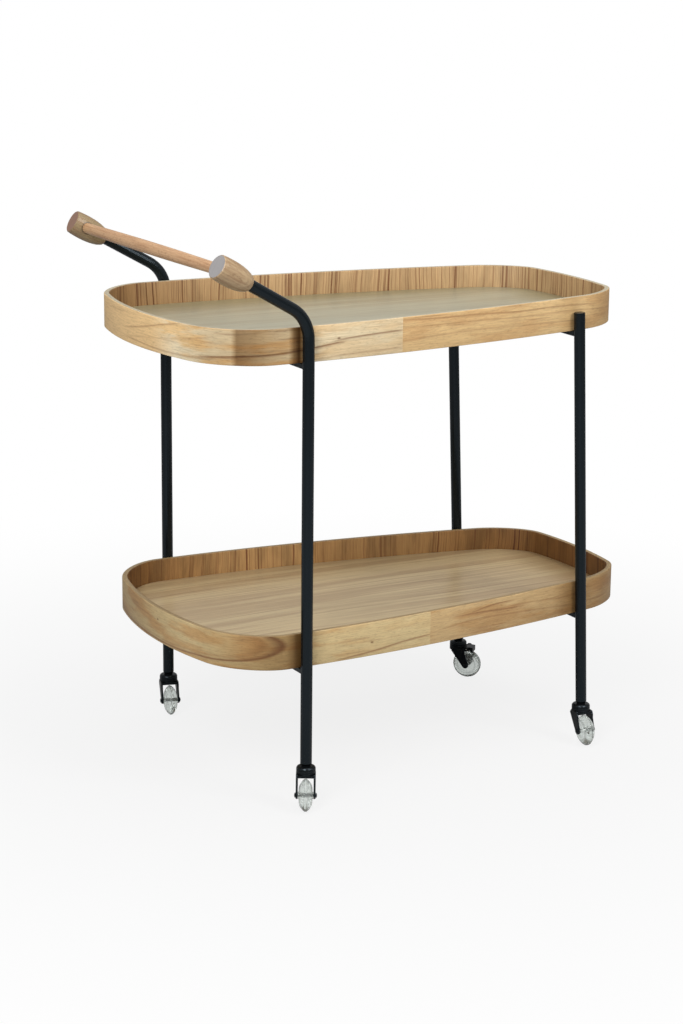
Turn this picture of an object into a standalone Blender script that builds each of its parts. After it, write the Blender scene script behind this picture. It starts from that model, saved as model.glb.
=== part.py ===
"""Two-tier bar cart: two bent-rim wooden trays on a tubular steel frame, with a turned
wooden handle and four swivel casters with clear wheels. Metres, +Z up, origin on the floor
under the middle of the cart, handle at -X, the front at -Y."""

from math import acos, atan2, cos, hypot, pi, radians, sin, sqrt, tan

import bmesh
import bpy
from mathutils import Matrix, Vector

# Trays: both have one outline, and the lower one is set towards the far end
TRAY_LENGTH = 0.800
TRAY_WIDTH = 0.454
TRAY_CORNER_RADIUS = 0.081
TRAY_TAPER_SHARE = 0.1735
SIDE_BOW = 0.0256
HANDLE_END_BOW = 0.0472
FAR_END_BOW = 0.0188
LOWER_TRAY_SHIFT = 0.025
RIM_HEIGHT = 0.0535
RIM_THICKNESS = 0.009
RIM_ROUNDING = 0.0012
FLOOR_THICKNESS = 0.0165
LOWER_TRAY_HEIGHT = 0.221
TIER_SPACING = 0.4675

# Frame tube and the places of the legs, measured in from the ends of the trays
TUBE_RADIUS = 0.009
TUBE_WALL = 0.0015
LEFT_LEG_INSET = 0.168
RIGHT_LEG_UPPER_INSET = 0.1191
RIGHT_LEG_LOWER_INSET = 0.1235
RIGHT_LEG_TOP_DROP = 0.0250
LEG_CAP_THICKNESS = 0.0015
LEG_CAP_DEPTH = 0.010

# Rails that carry the trays, and their screws
RAIL_WIDTH = 0.016
RAIL_HEIGHT = 0.008
RAIL_ROUNDING = 0.0008
RAIL_SCREW_INSET = 0.070
SCREW_RADIUS = 0.002
SCREW_HEAD_RADIUS = 0.0038
SCREW_HEAD_HEIGHT = 0.0024
SCREW_REACH = 0.011
SCREW_POINT = 0.002

# Handle: the left tubes bend over into turned caps, and a bar joins the caps
HANDLE_BEND_RADIUS = 0.055
HANDLE_BEND_HEIGHT = 0.014
HANDLE_REACH = 0.155
HANDLE_RISE = 0.0875
HANDLE_FLARE = 0.0147
CAP_LENGTH = 0.0605
CAP_FACE_RADIUS = 0.0185
CAP_BELLY_RADIUS = 0.0196
CAP_NECK_RADIUS = 0.0112
CAP_EDGE = 0.0012
CAP_SOCKET_DEPTH = 0.028
BAR_SETBACK = 0.020
BAR_END_RADIUS = 0.0084
BAR_MIDDLE_RADIUS = 0.0098
BAR_ENTRY = 0.024
BAR_STRAIGHT = 0.030
BAR_EDGE = 0.001

# Casters
WHEEL_RADIUS = 0.025
WHEEL_WIDTH = 0.021
WHEEL_FLAT_RADIUS = 0.008
WHEEL_SIDE_POWER = 2.4
TREAD_WIDTH = 0.003
HUB_RADIUS = 0.0055
HUB_WIDTH = 0.0236
CASTER_TRAIL = 0.017
ARM_THICKNESS = 0.003
ARM_END_RADIUS = 0.0058
ARM_FRONT_REACH = 0.0092
ARM_BACK_REACH = 0.0155
ARM_BACK_DROP = 0.012
ARM_ROUNDING = 0.0007
CROWN_RADIUS = 0.015
CROWN_HEIGHT = 0.0156
CROWN_SHOULDER = 0.004
CROWN_SHOULDER_DROP = 0.0042
CROWN_GROOVE = 0.0006
CROWN_GROOVE_DROPS = (0.0056, 0.0095)
CROWN_CLEARANCE = 0.0012
HOUSING_HEIGHT = 0.0045
AXLE_RADIUS = 0.0025
AXLE_HEAD_RADIUS = 0.0043
AXLE_HEAD_HEIGHT = 0.0021
STEM_RADIUS = 0.004
STEM_UP = 0.024
STEM_DOWN = 0.012
WASHER_RADIUS = 0.0072
WASHER_THICKNESS = 0.001
SOCKET_DEPTH = 0.027
SOCKET_COLLAR_HEIGHT = 0.0026
SOCKET_COLLAR_RADIUS = 0.0073

# Brake lever of the caster at the rear right
BRAKE_EYE_RADIUS = 0.0032
BRAKE_PIN_RADIUS = 0.0012
BRAKE_EAR_RADIUS = 0.0036
BRAKE_WIDTH = 0.020
BRAKE_LENGTH = 0.0106
BRAKE_WHEEL_CLEARANCE = 0.0015
BRAKE_ROUNDING = 0.0006

# Clearances: a seat, a leg along its curved rim, a running fit, and how far a cut passes a face
GAP = 0.0003
LEG_GAP = 0.0006
RUNNING_GAP = 0.0003
OVERRUN = 0.004

# Directions in plan that each caster trails in at rest, in degrees from +X
TRAIL_HEADINGS = {
    "front_left": -119.0,
    "front_right": -95.0,
    "rear_left": -105.0,
    "rear_right": -45.5,
}
BRAKED = "rear_right"

# How finely round shapes are divided
CORNER_STEPS = 8
LONG_SIDE_STEPS = 10
END_STEPS = 6
TUBE_SIDES = 16
BEND_STEPS = 9
WHEEL_STEPS = 28
CROWN_STEPS = 24
CAP_STEPS = 24
BAR_STEPS = 16
SMALL_STEPS = 12
BARREL_STEPS = 7
SHOULDER_STEPS = 4
SMOOTH_ANGLE = radians(35)
BEVEL_ANGLE = radians(50)
PLATE_BEVEL_ANGLE = radians(70)
ROUNDING_SEGMENTS = 1
MERGE = 0.00001

# Heights worked out from the stack of pieces under each leg
AXLE_HEIGHT = WHEEL_RADIUS * cos(pi / WHEEL_STEPS)
CROWN_BOTTOM = AXLE_HEIGHT + WHEEL_RADIUS + CROWN_CLEARANCE
CROWN_TOP = CROWN_BOTTOM + CROWN_HEIGHT
WASHER_BOTTOM = CROWN_TOP + GAP
COLLAR_BOTTOM = WASHER_BOTTOM + WASHER_THICKNESS + GAP
COLLAR_TOP = COLLAR_BOTTOM + SOCKET_COLLAR_HEIGHT
LEG_BOTTOM = COLLAR_TOP + GAP

# Places worked out from the trays
HALF_LENGTH = TRAY_LENGTH / 2
HALF_WIDTH = TRAY_WIDTH / 2
UPPER_TRAY_HEIGHT = LOWER_TRAY_HEIGHT + TIER_SPACING
UPPER_CENTRE = -LOWER_TRAY_SHIFT / 2
LOWER_CENTRE = LOWER_TRAY_SHIFT / 2
RIM_TOP = UPPER_TRAY_HEIGHT + RIM_HEIGHT
ARM_INNER = HUB_WIDTH / 2 + RUNNING_GAP
ARM_OUTER = ARM_INNER + ARM_THICKNESS

COLLECTION = bpy.data.collections.new("bar_cart")
CUTTERS = bpy.data.collections.new("bar_cart_cutters")


def clear_scene():
    for obj in list(bpy.data.objects):
        bpy.data.objects.remove(obj, do_unlink=True)
    bpy.context.scene.collection.children.link(COLLECTION)
    bpy.context.scene.collection.children.link(CUTTERS)


def linear(hex_colour):
    """The linear RGBA of an sRGB hex colour."""
    values = [int(hex_colour[i : i + 2], 16) / 255 for i in (1, 3, 5)]
    return [v / 12.92 if v <= 0.04045 else ((v + 0.055) / 1.055) ** 2.4 for v in values] + [1.0]


def finish(name, colour, roughness, metallic=0.0, transmission=0.0, ior=1.5):
    """A plain material in the colour and gloss of the real surface."""
    material = bpy.data.materials.new(name)
    material.use_nodes = True
    shader = material.node_tree.nodes["Principled BSDF"]
    shader.inputs["Base Color"].default_value = linear(colour)
    shader.inputs["Roughness"].default_value = roughness
    shader.inputs["Metallic"].default_value = metallic
    shader.inputs["Transmission Weight"].default_value = transmission
    shader.inputs["IOR"].default_value = ior
    material.diffuse_color = linear(colour)
    return material


def linked(obj, material, collection=None):
    """The object in its collection, with its material."""
    (collection or COLLECTION).objects.link(obj)
    if material:
        obj.data.materials.clear()
        obj.data.materials.append(material)
    return obj


def helper(obj):
    """The object kept as a wire-drawn cutter that no render shows."""
    CUTTERS.objects.link(obj)
    obj.hide_render = True
    obj.display_type = "WIRE"
    return obj


def baked(obj):
    """The mesh that the object's curve or modifiers make; the object itself goes."""
    bpy.context.view_layer.update()
    graph = bpy.context.evaluated_depsgraph_get()
    mesh = bpy.data.meshes.new_from_object(obj.evaluated_get(graph))
    bpy.data.objects.remove(obj, do_unlink=True)
    shape = bmesh.new()
    shape.from_mesh(mesh)
    bmesh.ops.remove_doubles(shape, verts=shape.verts, dist=MERGE)
    shape.to_mesh(mesh)
    shape.free()
    return mesh


def smooth(mesh):
    mesh.shade_smooth()
    mesh.set_sharp_from_angle(angle=SMOOTH_ANGLE)
    return mesh


def rounded(obj, width, limit=BEVEL_ANGLE):
    """Rounds the object's edges that are sharper than the limit."""
    bevel = obj.modifiers.new("rounding", "BEVEL")
    bevel.width = width
    bevel.segments = ROUNDING_SEGMENTS
    bevel.limit_method = "ANGLE"
    bevel.angle_limit = limit
    return obj


def combined(obj, other, operation):
    boolean = obj.modifiers.new(operation.lower(), "BOOLEAN")
    boolean.operation = operation
    boolean.object = other
    return obj


def drop(objects):
    for obj in objects:
        bpy.data.objects.remove(obj, do_unlink=True)


def turned(name, profile, steps, start=0.0):
    """A shape turned about Z from (radius, height) points that run down its outer side.
    A profile that ends off the axis is closed into a ring."""
    mesh = bpy.data.meshes.new(name)
    shape = bmesh.new()
    points = [shape.verts.new((r * cos(start), r * sin(start), z)) for r, z in profile]
    for a, b in zip(points, points[1:]):
        shape.edges.new((a, b))
    if profile[0][0] > 0:
        shape.edges.new((points[-1], points[0]))
    shape.to_mesh(mesh)
    shape.free()
    obj = bpy.data.objects.new(name, mesh)
    screw = obj.modifiers.new("turn", "SCREW")
    screw.steps = screw.render_steps = steps
    screw.use_merge_vertices = True
    screw.merge_threshold = MERGE
    return obj


def flat_outline(name, points, thickness):
    """A plate with this outline in XY, its thickness centred on z = 0."""
    curve = bpy.data.curves.new(name, "CURVE")
    curve.dimensions = "2D"
    curve.fill_mode = "BOTH"
    curve.extrude = thickness / 2
    spline = curve.splines.new("POLY")
    spline.points.add(len(points) - 1)
    for point, (x, y) in zip(spline.points, points):
        point.co = (x, y, 0, 1)
    spline.use_cyclic_u = True
    obj = bpy.data.objects.new(name, curve)
    CUTTERS.objects.link(obj)
    return baked(obj)


def cylinder(name, start, end, radius, sides=SMALL_STEPS):
    """A cylinder from one point to another."""
    start, end = Vector(start), Vector(end)
    mesh = bpy.data.meshes.new(name)
    shape = bmesh.new()
    bmesh.ops.create_cone(
        shape, cap_ends=True, segments=sides, radius1=radius, radius2=radius, depth=(end - start).length
    )
    turn = (end - start).to_track_quat("Z", "Y").to_matrix().to_4x4()
    shape.transform(Matrix.Translation((start + end) / 2) @ turn)
    shape.to_mesh(mesh)
    shape.free()
    return bpy.data.objects.new(name, mesh)


def box(name, low, high):
    """A box between two corners."""
    low, high = Vector(low), Vector(high)
    mesh = bpy.data.meshes.new(name)
    shape = bmesh.new()
    bmesh.ops.create_cube(shape, size=1)
    shape.transform(Matrix.Translation((low + high) / 2) @ Matrix.Diagonal((high - low).to_4d()))
    shape.to_mesh(mesh)
    shape.free()
    return bpy.data.objects.new(name, mesh)


def tube(name, path):
    """A hollow steel tube, open at both ends, along a path of points."""
    curve = bpy.data.curves.new(name, "CURVE")
    curve.dimensions = "3D"
    curve.bevel_depth = TUBE_RADIUS
    curve.bevel_resolution = (TUBE_SIDES - 4) // 2
    spline = curve.splines.new("POLY")
    spline.points.add(len(path) - 1)
    for point, place in zip(spline.points, path):
        point.co = (*place, 1)
    obj = bpy.data.objects.new(name, curve)
    CUTTERS.objects.link(obj)
    mesh = baked(obj)
    shape = bmesh.new()
    shape.from_mesh(mesh)
    bmesh.ops.recalc_face_normals(shape, faces=shape.faces)
    shape.to_mesh(mesh)
    shape.free()
    obj = bpy.data.objects.new(name, mesh)
    wall = obj.modifiers.new("wall", "SOLIDIFY")
    wall.thickness = TUBE_WALL
    wall.offset = -1
    return obj


def rounded_corner(start, corner, end, radius, steps):
    """Points of a path from start to end whose corner is an arc of this radius."""
    start, corner, end = Vector(start), Vector(corner), Vector(end)
    back = (start - corner).normalized()
    ahead = (end - corner).normalized()
    half = back.angle(ahead) / 2
    reach = radius / tan(half)
    centre = corner + (back + ahead).normalized() * radius / sin(half)
    first = corner + back * reach - centre
    last = corner + ahead * reach - centre
    sweep = first.angle(last)
    arc = [
        centre + (first * sin(sweep * (1 - i / steps)) + last * sin(sweep * i / steps)) / sin(sweep)
        for i in range(steps + 1)
    ]
    return [start, *arc, end]


# The outline of a tray in plan


def tray_point(x, y):
    """Bows and tapers a point of a straight rounded rectangle into the tray's outline."""
    along = x / HALF_LENGTH
    across = y / HALF_WIDTH
    end_bow = HANDLE_END_BOW if x < 0 else FAR_END_BOW
    narrowed = 1 - TRAY_TAPER_SHARE * along - SIDE_BOW / HALF_WIDTH * along**2
    return x - end_bow * across**2 * along, y * narrowed


def tray_outline(inset=0.0):
    """Points round the tray, counterclockwise from the far end, moved in by inset."""
    radius = TRAY_CORNER_RADIUS
    long_half = HALF_LENGTH - radius
    wide_half = HALF_WIDTH - radius
    plain = []
    for quarter, (side_x, side_y) in enumerate(((1, 1), (-1, 1), (-1, -1), (1, -1))):
        for i in range(CORNER_STEPS):
            angle = (quarter + i / CORNER_STEPS) * pi / 2
            plain.append((side_x * long_half + radius * cos(angle), side_y * wide_half + radius * sin(angle)))
        steps = LONG_SIDE_STEPS if quarter % 2 == 0 else END_STEPS
        for i in range(steps):
            share = 1 - 2 * i / steps
            if quarter % 2 == 0:
                plain.append((side_x * long_half * share, side_y * HALF_WIDTH))
            else:
                plain.append((side_x * HALF_LENGTH, side_y * wide_half * share))
    points = [tray_point(x, y) for x, y in plain]
    return [moved_in(points, i, inset) for i in range(len(points))]


def moved_in(points, i, inset):
    """Point i of a counterclockwise outline, moved in along its normal."""
    x, y = points[i]
    before_x, before_y = points[i - 1]
    after_x, after_y = points[(i + 1) % len(points)]
    run, rise = after_x - before_x, after_y - before_y
    length = hypot(run, rise)
    return x - inset * rise / length, y + inset * run / length


def wall_place(x):
    """Half width of the outline at x along the tray, and the slope of the wall there."""
    rear = sorted((px, py) for px, py in tray_outline() if py > 0)
    for (x0, y0), (x1, y1) in zip(rear, rear[1:]):
        if x0 <= x <= x1 and x1 > x0:
            slope = (y1 - y0) / (x1 - x0)
            return y0 + slope * (x - x0), slope
    raise ValueError("the leg stands past the end of the tray")


def leg_side(x):
    """How far from the middle plane a leg stands to touch the wall at x along the tray."""
    width, slope = wall_place(x)
    return width + (TUBE_RADIUS + LEG_GAP) * sqrt(1 + slope**2)


# Legs: each is a straight line past the middles of both rims


def leg_line(side, end):
    """Two points of a leg's axis, at the middles of the upper and the lower rim."""
    if end == "left":
        along_upper = LEFT_LEG_INSET - HALF_LENGTH
        along_lower = along_upper - LOWER_TRAY_SHIFT
    else:
        along_upper = HALF_LENGTH - RIGHT_LEG_UPPER_INSET
        along_lower = HALF_LENGTH - RIGHT_LEG_LOWER_INSET
    sign = -1 if side == "front" else 1
    upper = Vector(
        (UPPER_CENTRE + along_upper, sign * leg_side(along_upper), UPPER_TRAY_HEIGHT + RIM_HEIGHT / 2)
    )
    lower = Vector(
        (LOWER_CENTRE + along_lower, sign * leg_side(along_lower), LOWER_TRAY_HEIGHT + RIM_HEIGHT / 2)
    )
    return upper, lower


def leg_at(side, end, height):
    """The point of a leg's axis at this height."""
    upper, lower = leg_line(side, end)
    return lower + (upper - lower) * (height - lower.z) / (upper.z - lower.z)


def handle_axis(side):
    """The corner where the tube turns to the handle, and the middle of the cap's flat face."""
    corner = leg_at(side, "left", RIM_TOP + HANDLE_BEND_HEIGHT)
    sign = -1 if side == "front" else 1
    return corner, corner + Vector((-HANDLE_REACH, sign * HANDLE_FLARE, HANDLE_RISE))


def leg_foot(side, end):
    """The leg's lower end: its tube stands upright over the caster from here."""
    return leg_at(side, end, LEG_BOTTOM)


def build_legs(material):
    for side in ("front", "rear"):
        corner, face = handle_axis(side)
        towards = (face - corner).normalized()
        tip = face - towards * (CAP_LENGTH - CAP_SOCKET_DEPTH + GAP)
        path = rounded_corner(leg_foot(side, "left"), corner, tip, HANDLE_BEND_RADIUS, BEND_STEPS)
        obj = linked(tube(f"leg_{side}_left", path), material)
        smooth(obj.data)
        top = leg_at(side, "right", RIM_TOP - RIGHT_LEG_TOP_DROP)
        obj = linked(tube(f"leg_{side}_right", [leg_foot(side, "right"), top]), material)
        smooth(obj.data)
        build_leg_cap(side, top, material)


def build_leg_cap(side, top, material):
    """A plug that closes the top of a right leg."""
    inner = TUBE_RADIUS - TUBE_WALL - GAP
    edge = LEG_CAP_THICKNESS / 3
    profile = [
        (0, GAP + LEG_CAP_THICKNESS),
        (TUBE_RADIUS - edge, GAP + LEG_CAP_THICKNESS),
        (TUBE_RADIUS, GAP + LEG_CAP_THICKNESS - edge),
        (TUBE_RADIUS, GAP),
        (inner, GAP),
        (inner, -LEG_CAP_DEPTH),
        (0, -LEG_CAP_DEPTH),
    ]
    mesh = smooth(baked(helper(turned("leg_cap", profile, SMALL_STEPS))))
    obj = linked(bpy.data.objects.new(f"leg_cap_{side}_right", mesh), material)
    obj.location = top
    upper, lower = leg_line(side, "right")
    obj.rotation_euler = (upper - lower).to_track_quat("Z", "Y").to_euler()


# Trays


def build_rim(name, centre, height, material):
    """The bent band round a tray: an open wall along the outline, thickened inwards."""
    mesh = bpy.data.meshes.new(name)
    shape = bmesh.new()
    low = [shape.verts.new((x, y, 0)) for x, y in tray_outline()]
    high = [shape.verts.new((v.co.x, v.co.y, RIM_HEIGHT)) for v in low]
    for i in range(len(low)):
        j = (i + 1) % len(low)
        shape.faces.new((low[i], low[j], high[j], high[i]))
    shape.to_mesh(mesh)
    shape.free()
    obj = linked(bpy.data.objects.new(name, mesh), material)
    obj.location = (centre, 0, height)
    wall = obj.modifiers.new("band", "SOLIDIFY")
    wall.thickness = RIM_THICKNESS
    wall.offset = -1
    wall.use_even_offset = True
    rounded(obj, RIM_ROUNDING)
    smooth(mesh)


def build_floor(name, centre, height, screws, material):
    """The panel inside a rim, with a pilot hole for each screw that comes up into it."""
    plate = flat_outline(name, tray_outline(RIM_THICKNESS + GAP), FLOOR_THICKNESS)
    obj = bpy.data.objects.new(name, plate)
    obj.location = (centre, 0, height + FLOOR_THICKNESS / 2)
    linked(obj, material)
    for number, place in enumerate(screws):
        top = Vector((place.x, place.y, height + SCREW_REACH + GAP))
        bottom = Vector((place.x, place.y, height - OVERRUN))
        drill = cylinder(f"{name}_pilot_{number}", bottom, top, SCREW_RADIUS + GAP)
        combined(obj, helper(drill), "DIFFERENCE")


# Rails and their screws


def rail_top(tray_height):
    return tray_height - GAP


def rail_screws(end, tray_height):
    """The two places, on the rail's top, where screws pass up into the tray."""
    front = leg_at("front", end, rail_top(tray_height) - RAIL_HEIGHT / 2)
    places = []
    for sign in (1, -1):
        places.append(Vector((front.x, sign * (front.y + RAIL_SCREW_INSET), rail_top(tray_height))))
    return places


def build_rail(tier, end, tray_height, steel, screw_steel):
    """A flat bar between a pair of legs, coped to their round sides."""
    name = f"rail_{tier}_{end}"
    top = rail_top(tray_height)
    bottom = top - RAIL_HEIGHT
    front = leg_at("front", end, (top + bottom) / 2)
    half = RAIL_WIDTH / 2
    bar = box(name, (front.x - half, front.y, bottom), (front.x + half, -front.y, top))
    linked(bar, steel)
    rounded(bar, RAIL_ROUNDING)
    for side in ("front", "rear"):
        low = leg_at(side, end, bottom - OVERRUN)
        high = leg_at(side, end, top + OVERRUN)
        cope = cylinder(f"{name}_cope_{side}", low, high, TUBE_RADIUS + GAP, 2 * SMALL_STEPS)
        combined(bar, helper(cope), "DIFFERENCE")
    for label, place in zip(("front", "rear"), rail_screws(end, tray_height)):
        sink = turned(f"{name}_sink_{label}", screw_profile(GAP, OVERRUN), SMALL_STEPS)
        sink.location = (place.x, place.y, bottom)
        combined(bar, helper(sink), "DIFFERENCE")
        mesh = smooth(baked(helper(turned("screw", screw_profile(0, 0), SMALL_STEPS))))
        screw = linked(bpy.data.objects.new(f"screw_{tier}_{end}_{label}", mesh), screw_steel)
        screw.location = (place.x, place.y, bottom)


def screw_profile(clearance, overrun):
    """A countersunk screw pointing up from its head at z = 0, grown by a clearance for its hole."""
    tip = RAIL_HEIGHT + GAP + SCREW_REACH
    head = SCREW_HEAD_RADIUS + clearance
    return [
        (0, tip + clearance),
        (SCREW_RADIUS / 2 + clearance, tip + clearance),
        (SCREW_RADIUS + clearance, tip - SCREW_POINT),
        (SCREW_RADIUS + clearance, SCREW_HEAD_HEIGHT + clearance),
        (head, clearance + GAP),
        (head, -overrun),
        (0, -overrun),
    ]


# Handle


def cap_profile():
    """The turned outer side of a handle cap, from its flat face down to its narrow end."""
    belly_share = 0.35
    fullness_share = 0.65
    points = [(0, 0), (CAP_FACE_RADIUS - CAP_EDGE, 0)]
    for i in range(1, BARREL_STEPS + 1):
        along = i / (BARREL_STEPS + 1)
        if along < belly_share:
            short = ((belly_share - along) / belly_share) ** 2
            radius = CAP_BELLY_RADIUS - (CAP_BELLY_RADIUS - CAP_FACE_RADIUS) * short
        else:
            past = (along - belly_share) / (1 - belly_share)
            radius = CAP_NECK_RADIUS + (CAP_BELLY_RADIUS - CAP_NECK_RADIUS) * (1 - past**2) ** fullness_share
        points.append((radius, -CAP_LENGTH * along))
    points.insert(2, (CAP_FACE_RADIUS, -CAP_EDGE))
    points += [(CAP_NECK_RADIUS + CAP_EDGE, -CAP_LENGTH + CAP_EDGE), (CAP_NECK_RADIUS, -CAP_LENGTH)]
    socket = TUBE_RADIUS + GAP
    points += [(socket, -CAP_LENGTH), (socket, CAP_SOCKET_DEPTH - CAP_LENGTH), (0, CAP_SOCKET_DEPTH - CAP_LENGTH)]
    return points


def bar_centre(side):
    """Where the bar's axis crosses the cap's axis."""
    corner, face = handle_axis(side)
    return face - (face - corner).normalized() * BAR_SETBACK


def build_caps(wood):
    for side in ("front", "rear"):
        corner, face = handle_axis(side)
        cap = turned(f"handle_cap_{side}", cap_profile(), CAP_STEPS)
        linked(cap, wood)
        cap.location = face
        cap.rotation_euler = (face - corner).to_track_quat("Z", "Y").to_euler()
        middle = bar_centre(side)
        sign = -1 if side == "front" else 1
        depth = BAR_ENTRY - CAP_BELLY_RADIUS + GAP
        blind = Vector((middle.x, middle.y + sign * depth, middle.z))
        mouth = Vector((middle.x, middle.y - sign * (CAP_BELLY_RADIUS + OVERRUN), middle.z))
        drill = cylinder(f"handle_cap_{side}_drill", blind, mouth, BAR_END_RADIUS + GAP, BAR_STEPS)
        combined(cap, helper(drill), "DIFFERENCE")


def build_bar(wood):
    """The turned bar, a little thicker in the middle, with its ends in the caps."""
    middle = bar_centre("rear")
    half = middle.y + BAR_ENTRY - CAP_BELLY_RADIUS
    swell = half - BAR_STRAIGHT
    outer = [(BAR_END_RADIUS - BAR_EDGE, half), (BAR_END_RADIUS, half - BAR_EDGE)]
    for i in range(1, BARREL_STEPS):
        along = i / BARREL_STEPS
        radius = BAR_END_RADIUS + (BAR_MIDDLE_RADIUS - BAR_END_RADIUS) * sin(along * pi / 2)
        outer.append((radius, swell * (1 - along)))
    outer.insert(2, (BAR_END_RADIUS, swell))
    profile = [(0, half), *outer, (BAR_MIDDLE_RADIUS, 0), *((r, -z) for r, z in reversed(outer)), (0, -half)]
    bar = turned("handle_bar", profile, BAR_STEPS)
    linked(bar, wood)
    bar.location = (middle.x, 0, middle.z)
    bar.rotation_euler = (-pi / 2, 0, 0)


# Casters: each is built upright at the origin, trailing towards +X, and turned into place


def wheel_mesh():
    """A clear wheel whose sides curve in to a narrow tread."""
    half_tread = TREAD_WIDTH / 2
    half_width = WHEEL_WIDTH / 2
    half_hub = HUB_WIDTH / 2
    bore = AXLE_RADIUS + RUNNING_GAP
    side = []
    for i in range(BARREL_STEPS + 1):
        share = sin(i / BARREL_STEPS * pi / 2)
        radius = WHEEL_FLAT_RADIUS + (WHEEL_RADIUS - WHEEL_FLAT_RADIUS) * share
        side.append((radius, half_tread + (half_width - half_tread) * (1 - share**WHEEL_SIDE_POWER)))
    upper = [(bore, half_hub), (HUB_RADIUS, half_hub), (HUB_RADIUS, half_width), *side]
    profile = upper + [(r, -z) for r, z in reversed(upper)]
    wheel = turned("wheel", profile, WHEEL_STEPS, start=pi / WHEEL_STEPS)
    mesh = baked(helper(wheel))
    mesh.transform(Matrix.Rotation(-pi / 2, 4, "X"))
    return smooth(mesh)


def crown_profile():
    """The domed top of a fork, with two fine grooves and a blind bore for the stem."""
    bore = STEM_RADIUS + RUNNING_GAP
    floor = CROWN_TOP - STEM_DOWN - GAP
    flat = CROWN_RADIUS - CROWN_SHOULDER
    points = [(bore, CROWN_TOP), (flat, CROWN_TOP)]
    for i in range(1, SHOULDER_STEPS + 1):
        angle = i / SHOULDER_STEPS * pi / 2
        points.append((flat + CROWN_SHOULDER * sin(angle), CROWN_TOP - CROWN_SHOULDER_DROP * (1 - cos(angle))))
    for drop_from_top in CROWN_GROOVE_DROPS:
        height = CROWN_TOP - drop_from_top
        points.append((CROWN_RADIUS, height + CROWN_GROOVE))
        points.append((CROWN_RADIUS - CROWN_GROOVE, height))
        points.append((CROWN_RADIUS, height - CROWN_GROOVE))
    points += [(CROWN_RADIUS, CROWN_BOTTOM), (0, CROWN_BOTTOM), (0, floor), (bore, floor)]
    return points


def arm_outline():
    """One arm of a fork seen from the side: wide at the crown, raked back to the axle."""
    top = CROWN_BOTTOM + HOUSING_HEIGHT
    front = Vector((-ARM_FRONT_REACH, CROWN_BOTTOM))
    back = Vector((ARM_BACK_REACH, CROWN_BOTTOM))
    axle = Vector((CASTER_TRAIL, AXLE_HEIGHT))
    start = tangent_angle(front, axle, -1)
    end = tangent_angle(Vector((back.x, back.y - ARM_BACK_DROP / 2)), axle, 1)
    while end < start:
        end += 2 * pi
    round_end = []
    for i in range(CORNER_STEPS + 1):
        angle = start + (end - start) * i / CORNER_STEPS
        round_end.append((axle.x + ARM_END_RADIUS * cos(angle), axle.y + ARM_END_RADIUS * sin(angle)))
    return [
        (front.x + ARM_THICKNESS, top),
        (front.x, front.y),
        *round_end,
        (back.x, back.y - ARM_BACK_DROP / 2),
        (back.x, back.y),
        (back.x - ARM_THICKNESS, top),
    ]


def tangent_angle(point, centre, turn):
    """Where, round the arm's end, a line from the point touches it."""
    away = point - centre
    return atan2(away.y, away.x) - turn * acos(ARM_END_RADIUS / away.length)


def brake_pivot():
    """The lever's pin, just behind the crown and above the wheel."""
    x = CROWN_RADIUS + GAP + BRAKE_EYE_RADIUS
    z = AXLE_HEIGHT + WHEEL_RADIUS + BRAKE_WHEEL_CLEARANCE + BRAKE_EYE_RADIUS
    return Vector((x, 0, z))


def fork_mesh(braked):
    """Crown and two arms in one moulding, bored for stem and axle. Behind the stem the crown is
    squared off between the arms."""
    crown = helper(turned("crown", crown_profile(), CROWN_STEPS))
    inside = ARM_INNER + ARM_THICKNESS / 2
    bridge_top = CROWN_BOTTOM + HOUSING_HEIGHT - ARM_ROUNDING
    bridge = helper(box("bridge", (STEM_RADIUS + GAP, -inside, CROWN_BOTTOM), (CROWN_RADIUS, inside, bridge_top)))
    combined(crown, bridge, "UNION")
    used = [bridge]
    for sign in (-1, 1):
        plate = flat_outline("arm", arm_outline(), ARM_THICKNESS)
        arm = helper(bpy.data.objects.new("arm", plate))
        arm.rotation_euler = (pi / 2, 0, 0)
        arm.location = (0, sign * (ARM_INNER + ARM_OUTER) / 2, 0)
        rounded(arm, ARM_ROUNDING, PLATE_BEVEL_ANGLE)
        combined(crown, arm, "UNION")
        used.append(arm)
        if braked:
            pivot = brake_pivot()
            root = Vector((pivot.x - BRAKE_EAR_RADIUS, 0, pivot.z))
            for middle in (pivot, (pivot + root) / 2):
                inner = Vector((middle.x, sign * ARM_INNER, middle.z))
                outer = Vector((middle.x, sign * (ARM_OUTER - ARM_ROUNDING), middle.z))
                ear = helper(cylinder("ear", inner, outer, BRAKE_EAR_RADIUS, 2 * SMALL_STEPS))
                combined(crown, ear, "UNION")
                used.append(ear)
    reach = ARM_OUTER + OVERRUN
    holes = [(Vector((CASTER_TRAIL, 0, AXLE_HEIGHT)), AXLE_RADIUS + RUNNING_GAP)]
    if braked:
        holes.append((brake_pivot(), BRAKE_PIN_RADIUS + RUNNING_GAP))
    for middle, radius in holes:
        side = Vector((0, reach, 0))
        drill = helper(cylinder("drill", middle - side, middle + side, radius))
        combined(crown, drill, "DIFFERENCE")
        used.append(drill)
    mesh = baked(crown)
    drop(used)
    return smooth(mesh)


def axle_mesh():
    """A riveted axle with a domed head outside each arm."""
    face = ARM_OUTER + GAP
    head = []
    for i in range(SHOULDER_STEPS + 1):
        angle = i / SHOULDER_STEPS * pi / 2
        head.append((AXLE_HEAD_RADIUS * sin(angle), face + AXLE_HEAD_HEIGHT * cos(angle)))
    upper = [*head, (AXLE_RADIUS, face)]
    profile = upper + [(r, -z) for r, z in reversed(upper)]
    mesh = baked(helper(turned("axle", profile, SMALL_STEPS)))
    mesh.transform(Matrix.Rotation(-pi / 2, 4, "X"))
    return smooth(mesh)


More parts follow.
